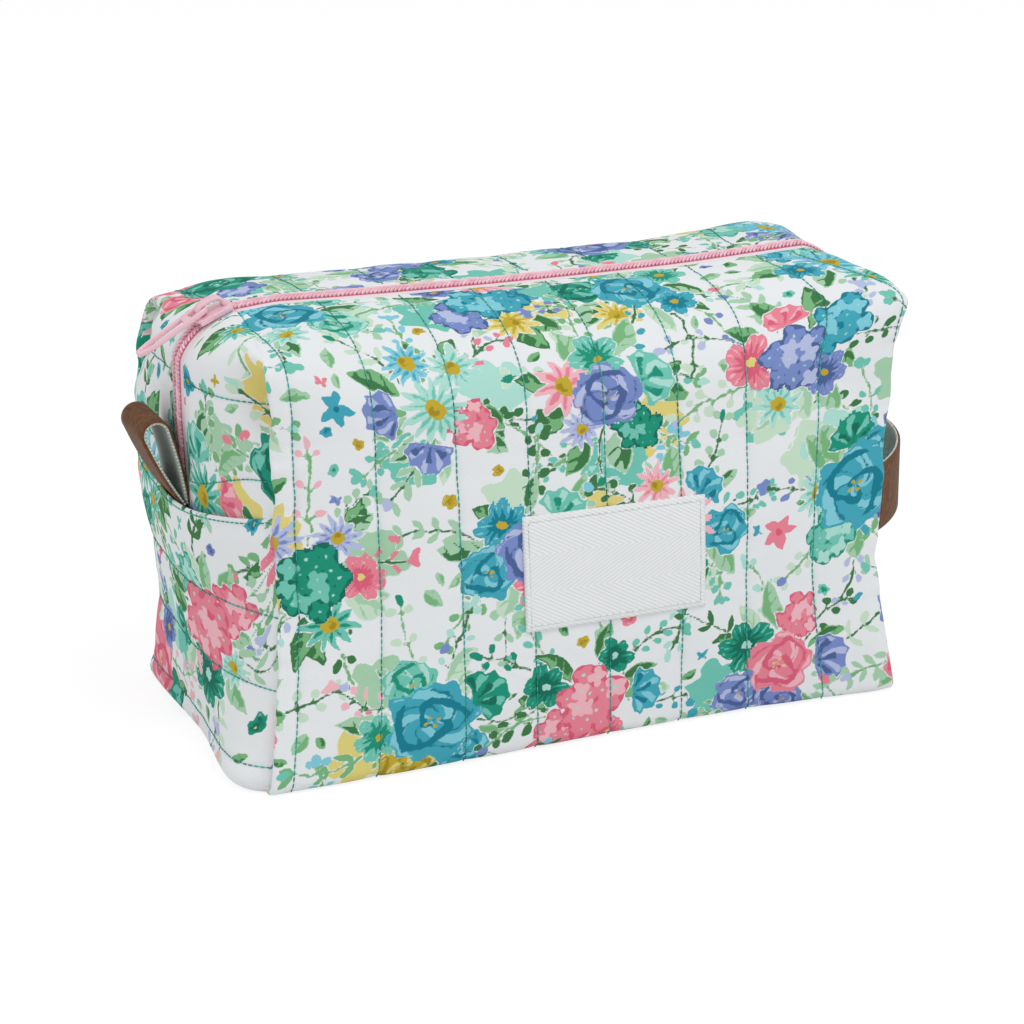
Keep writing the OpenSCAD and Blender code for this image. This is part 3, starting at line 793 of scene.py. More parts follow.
def beads(name, lines, step, size, slant, seed, material):
    points = np.concatenate(lines) * 0.001
    edges, start = [], 0
    for line in lines:
        edges += [(start + i, start + i + 1) for i in range(len(line) - 1)]
        start += len(line)
    mesh = bpy.data.meshes.new(name + "_line")
    mesh.from_pydata(points.tolist(), edges, [])
    guide = bpy.data.objects.new(name + "_line", mesh)
    bpy.context.scene.collection.objects.link(guide)
    modifier = guide.modifiers.new("beads", "NODES")
    modifier.node_group = beads_along
    given = {"Step": step * 0.001, "Size": tuple(0.001 * c for c in size), "Slant": tuple(slant),
             "Seed": seed, "Material": material}
    for key, value in given.items():
        modifier[bead_sockets[key]] = value
    settled = guide.evaluated_get(bpy.context.evaluated_depsgraph_get())
    whole = bpy.data.meshes.new_from_object(settled)
    whole.name = name
    bpy.data.objects.remove(guide)
    piece = bpy.data.objects.new(name, whole)
    bpy.context.scene.collection.objects.link(piece)
    return piece


def thread_material(name, dark, light, roughness=0.55):
    material, tree, shader = new_material(name, {"Roughness": roughness})
    tones = [(0, linear(dark)), (1, linear(light))]
    feed(shader, {"Base Color": add_ramp(tree, add_attribute(tree, "tone"), tones)})
    return material


teal_thread = thread_material("teal_thread", (12, 114, 108), (64, 186, 174))


def quilt_stitches(name, lines, seed):
    stitches = beads(name, lines, stitch_pitch, stitch_size, (0, 0, 0), seed, teal_thread)
    return stitches


# Front
# Quilted print cotton: it turns under at the base, rises, and rolls over to a folded lip along the zip.
# Its upright edges are folds that stand proud of the ends; quilting lines of teal thread cross it.
label_x, label_z = 5.4, 49.3
edge_fold = 0.8
edge_tuck = 4.0


def rolled_edge(base, out, end, keep):
    sideways = np.array([end, 0, 0.0])
    strip = []
    for angle in np.linspace(0, math.pi, 7)[1:]:
        step = edge_fold * (math.sin(angle) * sideways - (1 - math.cos(angle)) * out)
        strip.append(base + step * keep + (1 - keep) * (0.5 * sideways - 0.5 * out) * angle / math.pi)
    strip.append(strip[-1] - edge_tuck * sideways * keep - (1 - keep) * out)
    return strip


def long_side(name, side, v_start, columns, rows):
    up = np.linspace(0, 1, rows)
    share = np.broadcast_to(up[None, :], (columns, rows))
    x = np.linspace(-1, 1, columns)[:, None] * edge_x(share)
    flat = tube(x, share, side)
    z = flat[..., 1]
    points = np.stack([x, side * flat[..., 0], z], -1)
    v = girth * (1 - share)
    across = v + (0 if side < 0 else 300)
    outward = facing(points, (0, side, 0))
    to_edge = edge_x(share) - np.abs(x)
    calm = (smooth(0, 12, v) * smooth(0, 5, to_edge) * (0.25 + 0.75 * smooth(15, 38, girth - v))
            * (0.55 + 0.45 * smooth(38, 60, v)))
    if side < 0:
        over_label = smooth(33, 24, np.abs(x - label_x)) * smooth(22, 13, np.abs(z - label_z))
        calm = calm * (1 - 0.6 * over_label)
    points = quilted(points, x, across, quilt_lines, outward, calm)
    near_edge = (np.exp(-to_edge / 4.5) * smooth(0.2, 0.3, share)
                 * smooth(roll_share + 0.1, roll_share, share))
    points = points + outward * (0.35 * near_edge * swell(v / 3.1, x / 40, 31 + side))[..., None]
    points[..., 0] += np.sign(x) * near_edge * 0.9 * swell(v / 8.0, np.sign(x) * 3.0, 33 + side)
    crease = np.exp(-((v - 4.5) / 1.2) ** 2)
    points = points - outward * (0.25 * crease)[..., None]
    above_floor(points)

    def thread(where, rows_used):
        return np.array([thread_point(where[j], x[:, j], points[:, j], outward[:, j]) for j in rows_used])

    on_wall = [j for j in range(rows) if v[0, j] > 1.2 and z[0, j] > 1.2]
    stitches = [thread(line + line_wander(across[0]), on_wall) for line in quilt_lines]
    if side < 0:
        ear = edge_x(up) - np.interp(v[0], [2, 55], [5.0, 0.2])
        stitches.append(thread(ear, [j for j in range(rows) if 2 < v[0, j] < 55]))
    keep = smooth(ear_share + 0.025, ear_share - 0.03, up)[:, None]
    left, right = (rolled_edge(points[c], outward[c], end, keep) for end, c in ((-1, 0), (1, -1)))
    points = np.concatenate([np.array(left[::-1]), points, np.array(right)])
    beyond = np.array([0.5, 1.0, 1.5, 2.0, 2.5, 3.0, 7.0])[:, None]
    u = np.concatenate([x[:1] - beyond[::-1], x, x[-1:] + beyond])
    v = np.concatenate([np.repeat(v[:1], 7, 0), v, np.repeat(v[-1:], 7, 0)])
    turned = folded_lip(points[:, -1], np.array([0, 0, -1.0]), side)
    points = np.concatenate([points, np.array(turned).transpose(1, 0, 2)], 1)
    above_floor(points)
    u = np.concatenate([u, np.repeat(u[:, -1:], 6, 1)], 1)
    v = np.concatenate([v, np.repeat(v[:, -1:], 6, 1) - np.arange(1, 7) * 0.4], 1)
    piece = grid_piece(name, settle(points), print_cotton, flip=side > 0)
    cut_print(piece.data, u.ravel(), (v_start + (v if side < 0 else -v)).ravel())
    return piece, [settle(line) for line in stitches]


front_cut = 0.0
front_cloth, front_lines = long_side("front_cloth", -1, front_cut, 318, 268)
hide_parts("front_panel", "front_top_panel")
follow_mouth(front_cloth)
follow_mouth(quilt_stitches("front_quilt_stitches", front_lines, 1))

# Back
# The same quilted cotton as the front, out of the photograph's sight.
back_cut = 405.0
back_cloth, back_lines = long_side("back_cloth", 1, back_cut, 260, 220)
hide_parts("back_panel", "back_top_panel")
follow_mouth(back_cloth)
follow_mouth(quilt_stitches("back_quilt_stitches", back_lines, 2))

# Base
# The flat bottom between the front and the back, quilted in the same lines.
def base_sheet():
    half_x, half_y = 90, 40
    x, y = np.meshgrid(np.linspace(-half_x, half_x, 220), np.linspace(-half_y, half_y, 100), indexing="ij")
    points = np.stack([x, y, 0.9 + 0 * x], -1)
    down = np.zeros_like(points)
    down[..., 2] = -1
    calm = 0.55 * smooth(0, 6, half_y - np.abs(y)) * smooth(0, 6, half_x - np.abs(x))
    points = quilted(points, x, y, quilt_lines, down, calm)
    above_floor(points)
    piece = grid_piece("base_cloth", settle(points), print_cotton, flip=True)
    cut_print(piece.data, x.ravel(), (girth + under_y + y).ravel())
    return piece


base_cloth = base_sheet()
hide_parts("base_panel")
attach(base_cloth, "bag")

# Upper end flaps
# The top cloth runs on over each end's shoulder and down beside the zip, so its print lies on its side there.
# Each flap is caught in the corner seam behind the front's fold; its lower edge goes behind the lower flap.
upper_lines = np.array([72.0, 99.3])


def upper_flap(name, end, side, v_start):
    rows, columns = 86, 130
    share = np.linspace(1, ear_share, rows)
    start_x = edge_x(share)
    flat = tube(end * start_x, share, side)
    along = np.linspace(0, 1, columns)
    points = np.zeros((rows, columns, 3))
    lengths = np.zeros((rows, columns))
    for i in range(rows):
        d, z_top = flat[i]
        f = i / (rows - 1)
        line, lengths[i] = along_line(end_line(d, z_top, start_x[i], f), columns)
        points[i] = np.stack([line[:, 0], d * (1 + 0.03 * f * smooth(0, 0.4, along)), line[:, 1]], 1)
    hollow = 7.0 * np.exp(-((points[..., 1] - 39) / 8.0) ** 2 - ((points[..., 2] - 102) / 9.0) ** 2)
    points[..., 0] -= hollow * smooth(0, 7, lengths)
    u = start_x[:, None] + lengths
    v = np.broadcast_to((girth * (1 - share))[:, None], u.shape)
    outward = facing(points, (1, 0, 0))
    z = points[..., 2] - 8.5 * smooth(6, 42, points[..., 1]) * smooth(94, 86, points[..., 2])
    calm = smooth(0, 8, v) * smooth(0, 6, np.abs(points[..., 1] - 47)) * smooth(0, 4, lengths) * 0.9
    points = quilted(points, z, v + 40 * end, upper_lines, outward, calm)
    stitches = []
    for line in upper_lines:
        where = line + line_wander(v[:, 0] + 40 * end)
        stitches.append(np.array([thread_point(where[i], z[i, ::-1], points[i, ::-1], outward[i, ::-1])
                                  for i in range(3, rows)]))
    turned = folded_lip(points[0], -outward[0], 1)
    seam = [points[-1] + np.array([-0.7, 0.5, 0]), points[-1] + np.array([-3.5, 0.7, 0])]
    points = np.concatenate([np.array(turned[::-1]), points, np.array(seam)])
    u = np.concatenate([np.repeat(u[:1], 6, 0), u, u[-1:], u[-1:]])
    v = np.concatenate([np.repeat(v[:1], 6, 0) - np.arange(6, 0, -1)[:, None] * 0.4,
                        v, v[-1:] + 0.8, v[-1:] + 3.6])
    mirror = np.array([end, side, 1.0])
    piece = grid_piece(name, settle(points * mirror), print_cotton, flip=end * side > 0)
    cut_print(piece.data, (u * end).ravel(), (v_start + (v if side < 0 else -v)).ravel())
    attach(piece, "bag")
    return piece, [settle(line * mirror) for line in stitches]


end_lines = []
for end, end_name in both_ends:
    for side, side_name in both_sides:
        cut = front_cut if side < 0 else back_cut
        flap, lines = upper_flap(f"{end_name}_upper_{side_name}_cloth", end, side, cut)
        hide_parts(f"{end_name}_upper_{side_name}_flap")
        end_lines += lines

# Lower end flaps
# The base cloth turns up each end as one flap; its folded, topstitched edge laps over the upper flaps.
lower_lines = np.array([7.5, 26.5, 45.5])
lower_half = 46.5
lower_fold = 0.55


def lower_top(y):
    return 65.5 + 5.5 * (np.abs(y) / 46) ** 2


def lower_flap(name, end):
    rows, columns = 170, 130
    ys = np.linspace(-lower_half, lower_half, rows)
    points = np.zeros((rows, columns, 3))
    lengths = np.zeros((rows, columns))
    full = 6 if end < 0 else 0
    for i, y in enumerate(ys):
        edge_r = 4.2 - 1.8 * smooth(30, 46, abs(y))
        low_x = end_x(y, 3.0, full)
        low = turn_up(under_x, low_x, edge_r, 8, 24)
        z = np.linspace(floor_gap + edge_r, lower_top(y), 70)[1:]
        stand_off = (1.6 + 2.6 * (1 - (y / lower_half) ** 2)) * smooth(15, 60, z)
        wall = np.stack([low_x + (end_x(y, z, full) - end_x(y, edge_r, full)) + stand_off, z], 1)
        turn = np.linspace(0, math.pi, 14)[1:]
        fold = wall[-1] + np.stack([-lower_fold * (1 - np.cos(turn)), lower_fold * np.sin(turn)], 1)
        tuck = fold[-1] + np.stack([np.zeros(8), -np.linspace(0.6, 5, 8)], 1)
        line, lengths[i] = along_line(np.concatenate([low, wall, fold, tuck]), columns)
        spread = np.interp(line[:, 1], [0, 5, 90], [1.05, 1.075, 0.975])
        points[i] = np.stack([line[:, 0], y * spread, line[:, 1]], 1)
    y, z = np.broadcast_to(ys[:, None], (rows, columns)), points[..., 2].copy()
    outward = facing(points, (1, 0, 0))
    top = lower_top(y)
    calm = smooth(0, 6, top - z) * smooth(0, 4, z) * smooth(0, 5, lower_half - np.abs(y)) * 0.9
    outside = lengths < lengths[:, -1:] - 7.1
    points = quilted(points, z, y + 200 * end, lower_lines, outward, calm * outside)
    above_floor(points)
    wander = line_wander(ys + 200 * end)
    stitches = []
    for where in [line + wander for line in lower_lines] + [top[:, 0] - 0.5]:
        path = [thread_point(where[i], z[i, outside[i]], points[i, outside[i]], outward[i, outside[i]])
                for i in range(1, rows - 1)]
        stitches.append(settle(np.array(path) * np.array([end, 1, 1])))
    points[..., 0] *= end
    piece = grid_piece(name, settle(points), print_cotton, flip=end > 0)
    cut_print(piece.data, (end * (under_x + lengths)).ravel(), (girth + under_y + y).ravel())
    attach(piece, "bag")
    return piece, stitches


lower_cloth = {}
for end, end_name in both_ends:
    lower_cloth[end_name], lines = lower_flap(f"{end_name}_lower_cloth", end)
    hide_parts(f"{end_name}_lower_flap")
    end_lines += lines
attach(quilt_stitches("end_quilt_stitches", end_lines, 3), "bag")

# Lining
# Plain pale cotton, sewn to the zip tapes and the corner seams, a little smaller than the shell around it.
lining_looks = {"Base Color": linear((226, 232, 230)), "Roughness": 0.85}
lining_cotton = new_material("lining_cotton", lining_looks)[0]


def long_lining(name, side):
    columns, rows = 120, 110
    share = np.broadcast_to(np.linspace(0, 0.972, rows)[None, :], (columns, rows))
    x = np.linspace(-1, 1, columns)[:, None] * (edge_x(share) - 3.2)
    flat = tube(x, share, side)
    points = np.stack([x, side * flat[..., 0], flat[..., 1]], -1)
    outward = facing(points, (0, side, 0))
    points = points - outward * (3.0 - 0.3 * swell(x / 17, flat[..., 1] / 14, 51))[..., None]
    return grid_piece(name, settle(points), lining_cotton, flip=side < 0)


def flat_lining(name, end):
    p, q = np.meshgrid(np.linspace(-1, 1, 80), np.linspace(0, 1, 80), indexing="ij")
    if end == 0:
        points = np.stack([p * 87, (2 * q - 1) * 42, 3.6 + 0.3 * swell(p * 6, q * 5, 53)], -1)
    else:
        z = 4 + 100 * q
        y = p * (45 - 3.5 * smooth(80, 104, z))
        x = end_x(y, z) - 4.5 - 6.5 * smooth(82, 104, z) - 0.3 * swell(p * 4, q * 6, 54)
        points = np.stack([end * x, y, z], -1)
    return grid_piece(name, settle(points), lining_cotton, flip=end > 0)


for piece, cad_nodes, flat, side in (
    (long_lining("front_lining", -1), ("body_lining", "front_top_lining"), (0.178, 0.172), -1),
    (long_lining("back_lining", 1), ("back_top_lining",), (0.178, 0.172), 1),
    (flat_lining("base_lining", 0), ("body_lining",), (0.174, 0.084), 0),
    (flat_lining("left_lining", -1), ("left_end_lining",), (0.090, 0.103), 0),
    (flat_lining("right_lining", 1), ("right_end_lining",), (0.090, 0.103), 0),
):
    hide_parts(*cad_nodes)
    if side:
        follow_mouth(piece)
    else:
        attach(piece, "bag")

# Zip
# Two woven tapes under the cloth's folded lips, pale at the sides and deep pink under their rows of nylon
# coil; that deep pink is partly the tape's own pink and partly painted shade in the gaps between the coil's
# turns.
# Closed along the top and the right end; at the left end, below the slider, the rows stand a little apart.
zip_tape_gap_shaded, tree, shader = new_material("zip_tape_pink_gap_shade", {"Roughness": 0.7})
# Deep pink next to the teeth: partly the tape's colour, partly painted shade showing between the coil's
# turns.
tape_colours_and_gap_shade = [(0.25, linear((216, 112, 148))), (0.3, linear((238, 226, 229)))]
feed(shader, {"Base Color": add_ramp(tree, add_attribute(tree, "from_teeth"), tape_colours_and_gap_shade)})
coil_pink = thread_material("coil_pink", (249, 190, 207), (255, 220, 229), roughness=0.35)
coil_pitch = 1.15
coil_size = (0.31, 1.75, 0.6)
coil_slant = 0.75
coil_y = 1.32
zip_lift = 0.3
rows_apart = 0.22
back_row_shift = 0.57
zip_end_z = 61
tape_across = np.array([0.15, 2.4, 3.0, 3.7, 4.6, 5.6, 7.0, 9.0, 11.0])
tape_drop = np.array([0.3, 0.35, 0.42, 0.6, 1.3, 2.5, 2.9, 3.05, 3.2])
tape_thick = 0.45


def tape(name, path, normal, side, part):
    across = np.concatenate([tape_across, tape_across[::-1]])
    drop = np.concatenate([tape_drop, tape_drop[::-1] + tape_thick])
    place = path[:, None, :] - normal[:, None, :] * drop[None, :, None]
    y = side * (across[None, :] + np.broadcast_to(part, len(path))[:, None])
    rings = np.stack([place[..., 0], y, place[..., 1]], -1)
    turn = np.cross(rings[1, 3] - rings[0, 3], rings[0, 4] - rings[0, 3])
    inside_out = turn @ np.array([normal[0, 0], 0, normal[0, 1]]) < 0
    strip = grid_piece(name, rings, zip_tape_gap_shaded, ring=True, flip=inside_out)
    set_values(strip.data, "from_teeth", np.tile(across / 10, len(path)))
    return strip


top_x = np.linspace(-lip_x, lip_x, 140)
top_path = np.stack([top_x, lip_height(top_x) + zip_lift], 1)
top_normal = np.tile([0.0, 1.0], (len(top_path), 1))
for side, side_name in both_sides:
    strip = tape(f"{side_name}_tape", top_path, top_normal, side, 0.0)
    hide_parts(f"{side_name}_zip_tape")
    follow_mouth(strip)
    line = np.stack([top_path[:, 0], np.full(len(top_path), side * coil_y), top_path[:, 1]], 1)
    if side > 0:
        line[:, 0] += back_row_shift
    slant = (0, 0, side * coil_slant)
    row = beads(f"{side_name}_coil", [line], coil_pitch, coil_size, slant, 4, coil_pink)
    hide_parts(f"{side_name}_zip_teeth")
    follow_mouth(row)
for end, end_name in both_ends:
    end_path, _ = along_line(end_line(lip_y, lip_height(end * lip_x), lip_x, 0.0), 120)
    end_path = end_path[end_path[:, 1] > zip_end_z]
    end_normal = unit(np.stack([-np.gradient(end_path[:, 1]), np.gradient(end_path[:, 0])], 1))
    end_path = end_path + zip_lift * end_normal
    part = rows_apart * smooth(86, 94, end_path[:, 0]) if end < 0 else 0.0
    turned = np.array([end, 1])
    for side, side_name in both_sides:
        strip = tape(f"{end_name}_{side_name}_tape", end_path * turned, end_normal * turned, side, part)
        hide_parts(f"{end_name}_zip_tapes")
        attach(strip, "bag")
    for k, (side, _) in enumerate(both_sides):
        y = side * (coil_y + np.broadcast_to(part, len(end_path)))
        line = np.stack([end_path[:, 0] * end, y, end_path[:, 1]], 1)[k:]
        slant = (0, 0, coil_slant * side * end)
        coil = beads(f"{end_name}_coil_{k}", [line], coil_pitch, coil_size, slant, 5, coil_pink)
        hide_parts(f"{end_name}_zip_teeth")
        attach(coil, "bag")

# Slider
# One die-cast piece in pink enamel: two plates, a divider between them, turned-down flanges and a bridge.
# It sits on the left shoulder, on the coil, with its broad end towards the open rows.
enamel_looks = {"Base Color": linear((247, 200, 213)), "Roughness": 0.25,
                "Coat Weight": 0.6, "Coat Roughness": 0.1}
pink_enamel = new_material("pink_enamel", enamel_looks)[0]
slider_tilt = math.radians(22)
slider_place = np.array([-87.84, 0, 113.15])
slider_long = 10.8
slider_along = np.array([math.cos(slider_tilt), 0, math.sin(slider_tilt)])
slider_up = np.array([-math.sin(slider_tilt), 0, math.cos(slider_tilt)])
sideways = np.array([0, 1, 0])


def signed_power(value, power):
    return np.sign(value) * np.abs(value) ** power


def on_axes(place, axes, *amounts):
    for axis, amount in zip(axes, amounts):
        place = place + np.asarray(amount)[..., None] * axis
    return place


def joined(name, lofts, material):
    points, faces, start = [], [], 0
    for rings, closed in lofts:
        rows, columns = rings.shape[:2]
        if closed:
            index = np.arange(rows * columns).reshape(rows, columns)
            own = quads(np.pad(index, ((0, 1), (0, 1)), mode="wrap"))
        else:
            own = grid_faces(rows, columns, ring=True)
        first = rings[0]
        turn = np.cross(rings[1, 0] - first[0], first[1] - first[0])
        if turn @ (first[0] - first.mean(0)) < 0:
            own = own[:, ::-1]
        points.append(rings.reshape(-1, 3))
        faces.append(own + start)
        start += rows * columns
    return mesh_piece(name, np.concatenate(points), np.concatenate(faces), material)


def slider_slab(low, high, length, broad, narrow, shift=0.0, bevel=0.3):
    turn = (np.arange(56) + 0.5) * 2 * math.pi / 56
    u = length / 2 * signed_power(np.cos(turn), 0.42)
    w = (broad + (narrow - broad) * (u / length + 0.5)) / 2 * signed_power(np.sin(turn), 0.42)
    arc = np.linspace(0, math.pi / 2, 5)
    inset = np.concatenate([bevel * (1 - np.sin(arc)), bevel * (1 - np.cos(arc))])
    level = np.concatenate([low + bevel * (1 - np.cos(arc)), high - bevel + bevel * np.sin(arc)])
    axes = (slider_along, sideways, slider_up)
    rings = [on_axes(slider_place, axes, shift + u * (1 - 2 * i / length), w * (1 - 2 * i / broad), h)
             for i, h in zip(inset, level)]
    return np.array(rings), False


def bar_section(half, thick, count=16, power=0.5):
    turn = (np.arange(count) + 0.5) * 2 * math.pi / count
    return half * signed_power(np.cos(turn), power), thick * signed_power(np.sin(turn), power)


def zip_slider():
    top_plate = slider_slab(1.9, 2.7, slider_long, 9.4, 8.0)
    lower_plate = slider_slab(-1.7, -0.9, slider_long, 9.4, 8.0)
    divider = slider_slab(-1.2, 2.2, 2.2, 1.5, 0.9, -4.0, 0.1)
    lofts = [top_plate, lower_plate, divider]
    u = np.linspace(-4.9, 4.9, 20)
    half, thick = bar_section(0.32, 0.5)
    for side in (-1, 1):
        y = side * (4.36 - 0.65 * (u / slider_long + 0.5))
        flange = on_axes(slider_place, (slider_along, sideways, slider_up),
                         u[:, None], y[:, None] + half, (1.75 + thick)[None, :])
        lofts.append((flange, False))
    turn = np.linspace(math.pi, 0, 40)
    u, n = 3.55 * signed_power(np.cos(turn), 0.55), 2.45 + 3.05 * np.sin(turn) ** 0.55
    slope = unit(np.stack([np.gradient(u), np.gradient(n)], 1))
    half, thick = bar_section(1.75, 0.55)
    out = -slope[:, 1:] * slider_along + slope[:, :1] * slider_up
    bridge = on_axes(slider_place, (slider_along, slider_up, sideways), u[:, None], n[:, None], half[None, :])
    lofts.append((bridge + thick[None, :, None] * out[:, None, :], False))
    return joined("enamel_slider", lofts, pink_enamel)


slider = zip_slider()
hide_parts("zip_slider")
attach(slider, "slider")

# Pull
# A bar through the bridge with an eye round it, running on into a long narrow open frame with a blunt tip.
# It hangs in the bridge and swings over it.
pull_tilt = math.radians(31)
pull_hinge = np.array([-90.9174, 0, 116.492])
pull_half_long = 10.4
pull_along = np.array([-math.cos(pull_tilt), 0, -math.sin(pull_tilt)])
pull_up = np.array([-math.sin(pull_tilt), 0, math.cos(pull_tilt)])


def zip_pull():
    turn = np.arange(120) * 2 * math.pi / 120
    s = pull_half_long - pull_half_long * signed_power(np.cos(turn), 0.36)
    w = np.interp(s, [0, 5, 17, 21], [2.6, 2.6, 2.2, 1.5]) * signed_power(np.sin(turn), 0.36)
    path = np.stack([s, w], 1)
    slope = unit(np.roll(path, -1, 0) - np.roll(path, 1, 0))
    half, thick = bar_section(0.64, 0.66)
    across = slope[:, 1:] * pull_along - slope[:, :1] * sideways
    rings = on_axes(pull_hinge, (pull_along, sideways), s[:, None], w[:, None])
    rings = rings + half[None, :, None] * across[:, None, :] + thick[None, :, None] * pull_up
    y = np.linspace(-2.35, 2.35, 8)
    half, thick = bar_section(1.1, 0.6)
    cross_bar = on_axes(pull_hinge, (sideways, pull_along, pull_up),
                        y[:, None], (5.6 + half)[None, :], thick[None, :])
    return joined("enamel_pull", [(rings, True), (cross_bar, False)], pink_enamel)


pull = zip_pull()
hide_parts("zip_pull")
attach(pull, "pull")

# Leather
# Brown grained leather strips with a grey backing; the raw edges are pale and overcast with white thread.
leather, tree, shader = new_material("brown_leather", {"Roughness": 0.55, "Specular IOR Level": 0.12})
where = add_node(tree, "ShaderNodeTexCoord").outputs["Object"]
grain = add_node(tree, "ShaderNodeTexVoronoi", {"Scale": 1100, "Vector": where}).outputs["Distance"]
cloud = add_node(tree, "ShaderNodeTexNoise", {"Scale": 700, "Detail": 5, "Vector": where}).outputs["Fac"]
brown = add_ramp(tree, cloud, [(0.3, linear((88, 55, 32))), (0.75, linear((130, 88, 55)))])
two_faces = [(0, (0, 0, 0, 1)), (0.5, (1, 1, 1, 1))]
backing = add_ramp(tree, add_attribute(tree, "strap_face"), two_faces, "CONSTANT")
backed = add_mix(tree, backing, brown, linear((186, 190, 184)))
feed(shader, {"Base Color": backed, "Normal": add_bump(tree, grain, 0.35, 0.0003)})
white_thread = thread_material("white_thread", (206, 208, 202), (238, 240, 234))
overcast_pitch = 1.0
overcast_size = (0.3, 0.14, 0.36)
overcast_slant = (0.6, 0, 0.5)


def strap(name, path, normal, across, width):
    half, thick, edge = width / 2, 1.3, 0.35
    flat = np.linspace(-half + 0.25, half - 0.25, 9)
    a = np.concatenate([[-half], flat, [half, half], flat[::-1], [-half]])
    t = np.concatenate([[edge], np.full(9, thick / 2), [edge, -edge], np.full(9, -thick / 2), [-edge]])
    inner = np.concatenate([np.zeros(11), np.ones(11)])
    rings = path[:, None, :] + across * a[None, :, None] + normal[:, None, :] * t[None, :, None]
    piece = grid_piece(name, rings, leather, ring=True)
    set_values(piece.data, "strap_face", np.tile(inner, len(path)))
    edges = [path + across * (s * (half + 0.05)) - normal * edge for s in (-1, 1)]
    return piece, edges


loop_lean = math.radians(20.5)
loop_up = np.array([-math.sin(loop_lean), 0, math.cos(loop_lean)])
loop_out = np.array([-math.cos(loop_lean), 0, -math.sin(loop_lean)])


def leather_loop():
    r, centre = 3.5, 19.9
    tangent = math.asin(r / centre)
    turn = np.linspace(-tangent, math.pi + tangent, 40)
    p, q = r * np.cos(turn), centre + r * np.sin(turn)
    leg = np.linspace(0, 1, 26)[:-1]
    p0, q0 = 0.68, -1.0
    belly = 0.5 * np.sin(np.pi * leg)
    p = np.concatenate([p0 + (p[0] - p0) * leg + belly, p, (-p0 + (p[-1] + p0) * leg - belly)[::-1]])
    q = np.concatenate([q0 + (q[0] - q0) * leg, q, (q0 + (q[-1] - q0) * leg)[::-1]])
    slope = unit(np.stack([np.gradient(p), np.gradient(q)], 1))
    root = np.array([-99.5, 4.0, 66.2])
    path = root + p[:, None] * loop_out + q[:, None] * loop_up
    normal = slope[:, 1:] * loop_out - slope[:, :1] * loop_up
    return strap("leather_loop", path, normal, np.array([0, 1.0, 0]), 20)


loop, loop_edges = leather_loop()
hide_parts("left_loop")
overcast = beads("loop_overcast", loop_edges, overcast_pitch, overcast_size, overcast_slant, 6, white_thread)
for piece in (loop, overcast):
    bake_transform(piece)


def leather_handle():
    half, rise, far_x, level, count = 43.0, 21.5, 114.0, 53.7, 70
    r = (half ** 2 + rise ** 2) / (2 * rise)
    reach = math.asin(half / r)
    turn = np.linspace(-reach, reach, count)
    path = np.stack([far_x - r + r * np.cos(turn), r * np.sin(turn), np.full(count, level)], 1)
    path[:, 0] += np.interp(path[:, 1], [-half, 0, half], [-6.5, 0, 0.5])
    normal = np.stack([np.cos(turn), np.sin(turn), np.zeros(count)], 1)
    return strap("leather_handle", path, normal, np.array([0, 0, -1.0]), 19)


handle, handle_edges = leather_handle()
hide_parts("right_handle")
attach(handle, "bag")
overcast = beads(
    "handle_overcast", handle_edges, overcast_pitch, overcast_size, overcast_slant, 7, white_thread)
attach(overcast, "bag")

# Label
# A rectangle of white herringbone twill tape, topstitched all round to the front; it is left bare.
label_half = np.array([26.5, 15.5])
label_seam_half = np.array([25.0, 14.0])
band_height, rib_pitch, rib_slope = 10.3, 1.05, -0.55
label_stitch_pitch, label_stitch_size = 1.9, (0.8, 0.2, 0.2)
hole_pitch, hole_size = 0.95, (0.16, 0.16, 0.16)
label_white, tree, shader = new_material("white_twill", {"Roughness": 0.8})
weave = add_node(tree, "ShaderNodeSeparateXYZ", {0: add_attribute(tree, "weave", "Vector")}).outputs
zigzag = add_math(tree, "PINGPONG", add_math(tree, "ADD", weave[1], 2.5 * band_height), band_height)
diagonal = add_math(tree, "ADD", add_math(tree, "MULTIPLY", weave[0], rib_slope), zigzag)
ribs = add_math(tree, "SINE", add_math(tree, "MULTIPLY", diagonal, 2 * math.pi / rib_pitch))
level = add_node(tree, "ShaderNodeMapRange", {"From Min": -1, "Value": ribs}).outputs[0]
tint = add_ramp(tree, level, [(0, linear((231, 234, 236))), (1, linear((246, 247, 247)))])
feed(shader, {"Base Color": tint, "Normal": add_bump(tree, level, 0.4, 0.0002)})
label_thread = thread_material("label_thread", (214, 217, 219), (236, 238, 239))
# The needle holes are grey dots: painted shade in the pits where the thread goes through the tape.
needle_hole_shade = thread_material("needle_hole_shade", (160, 158, 152), (190, 188, 182))


def on_front(a, b, lift):
    x, z = label_x + a, label_z + b
    d = np.zeros_like(x)
    for k in range(len(d)):
        f = (x[k] + side_x) / (2 * side_x) * (len(profile_x) - 1)
        i = int(f)
        f -= i
        line = front_profile[i] * (1 - f) + front_profile[i + 1] * f
        d[k] = np.interp(z[k], line[:, 1], line[:, 0])
    return settle(np.stack([x, -(d + lift), z], 1))


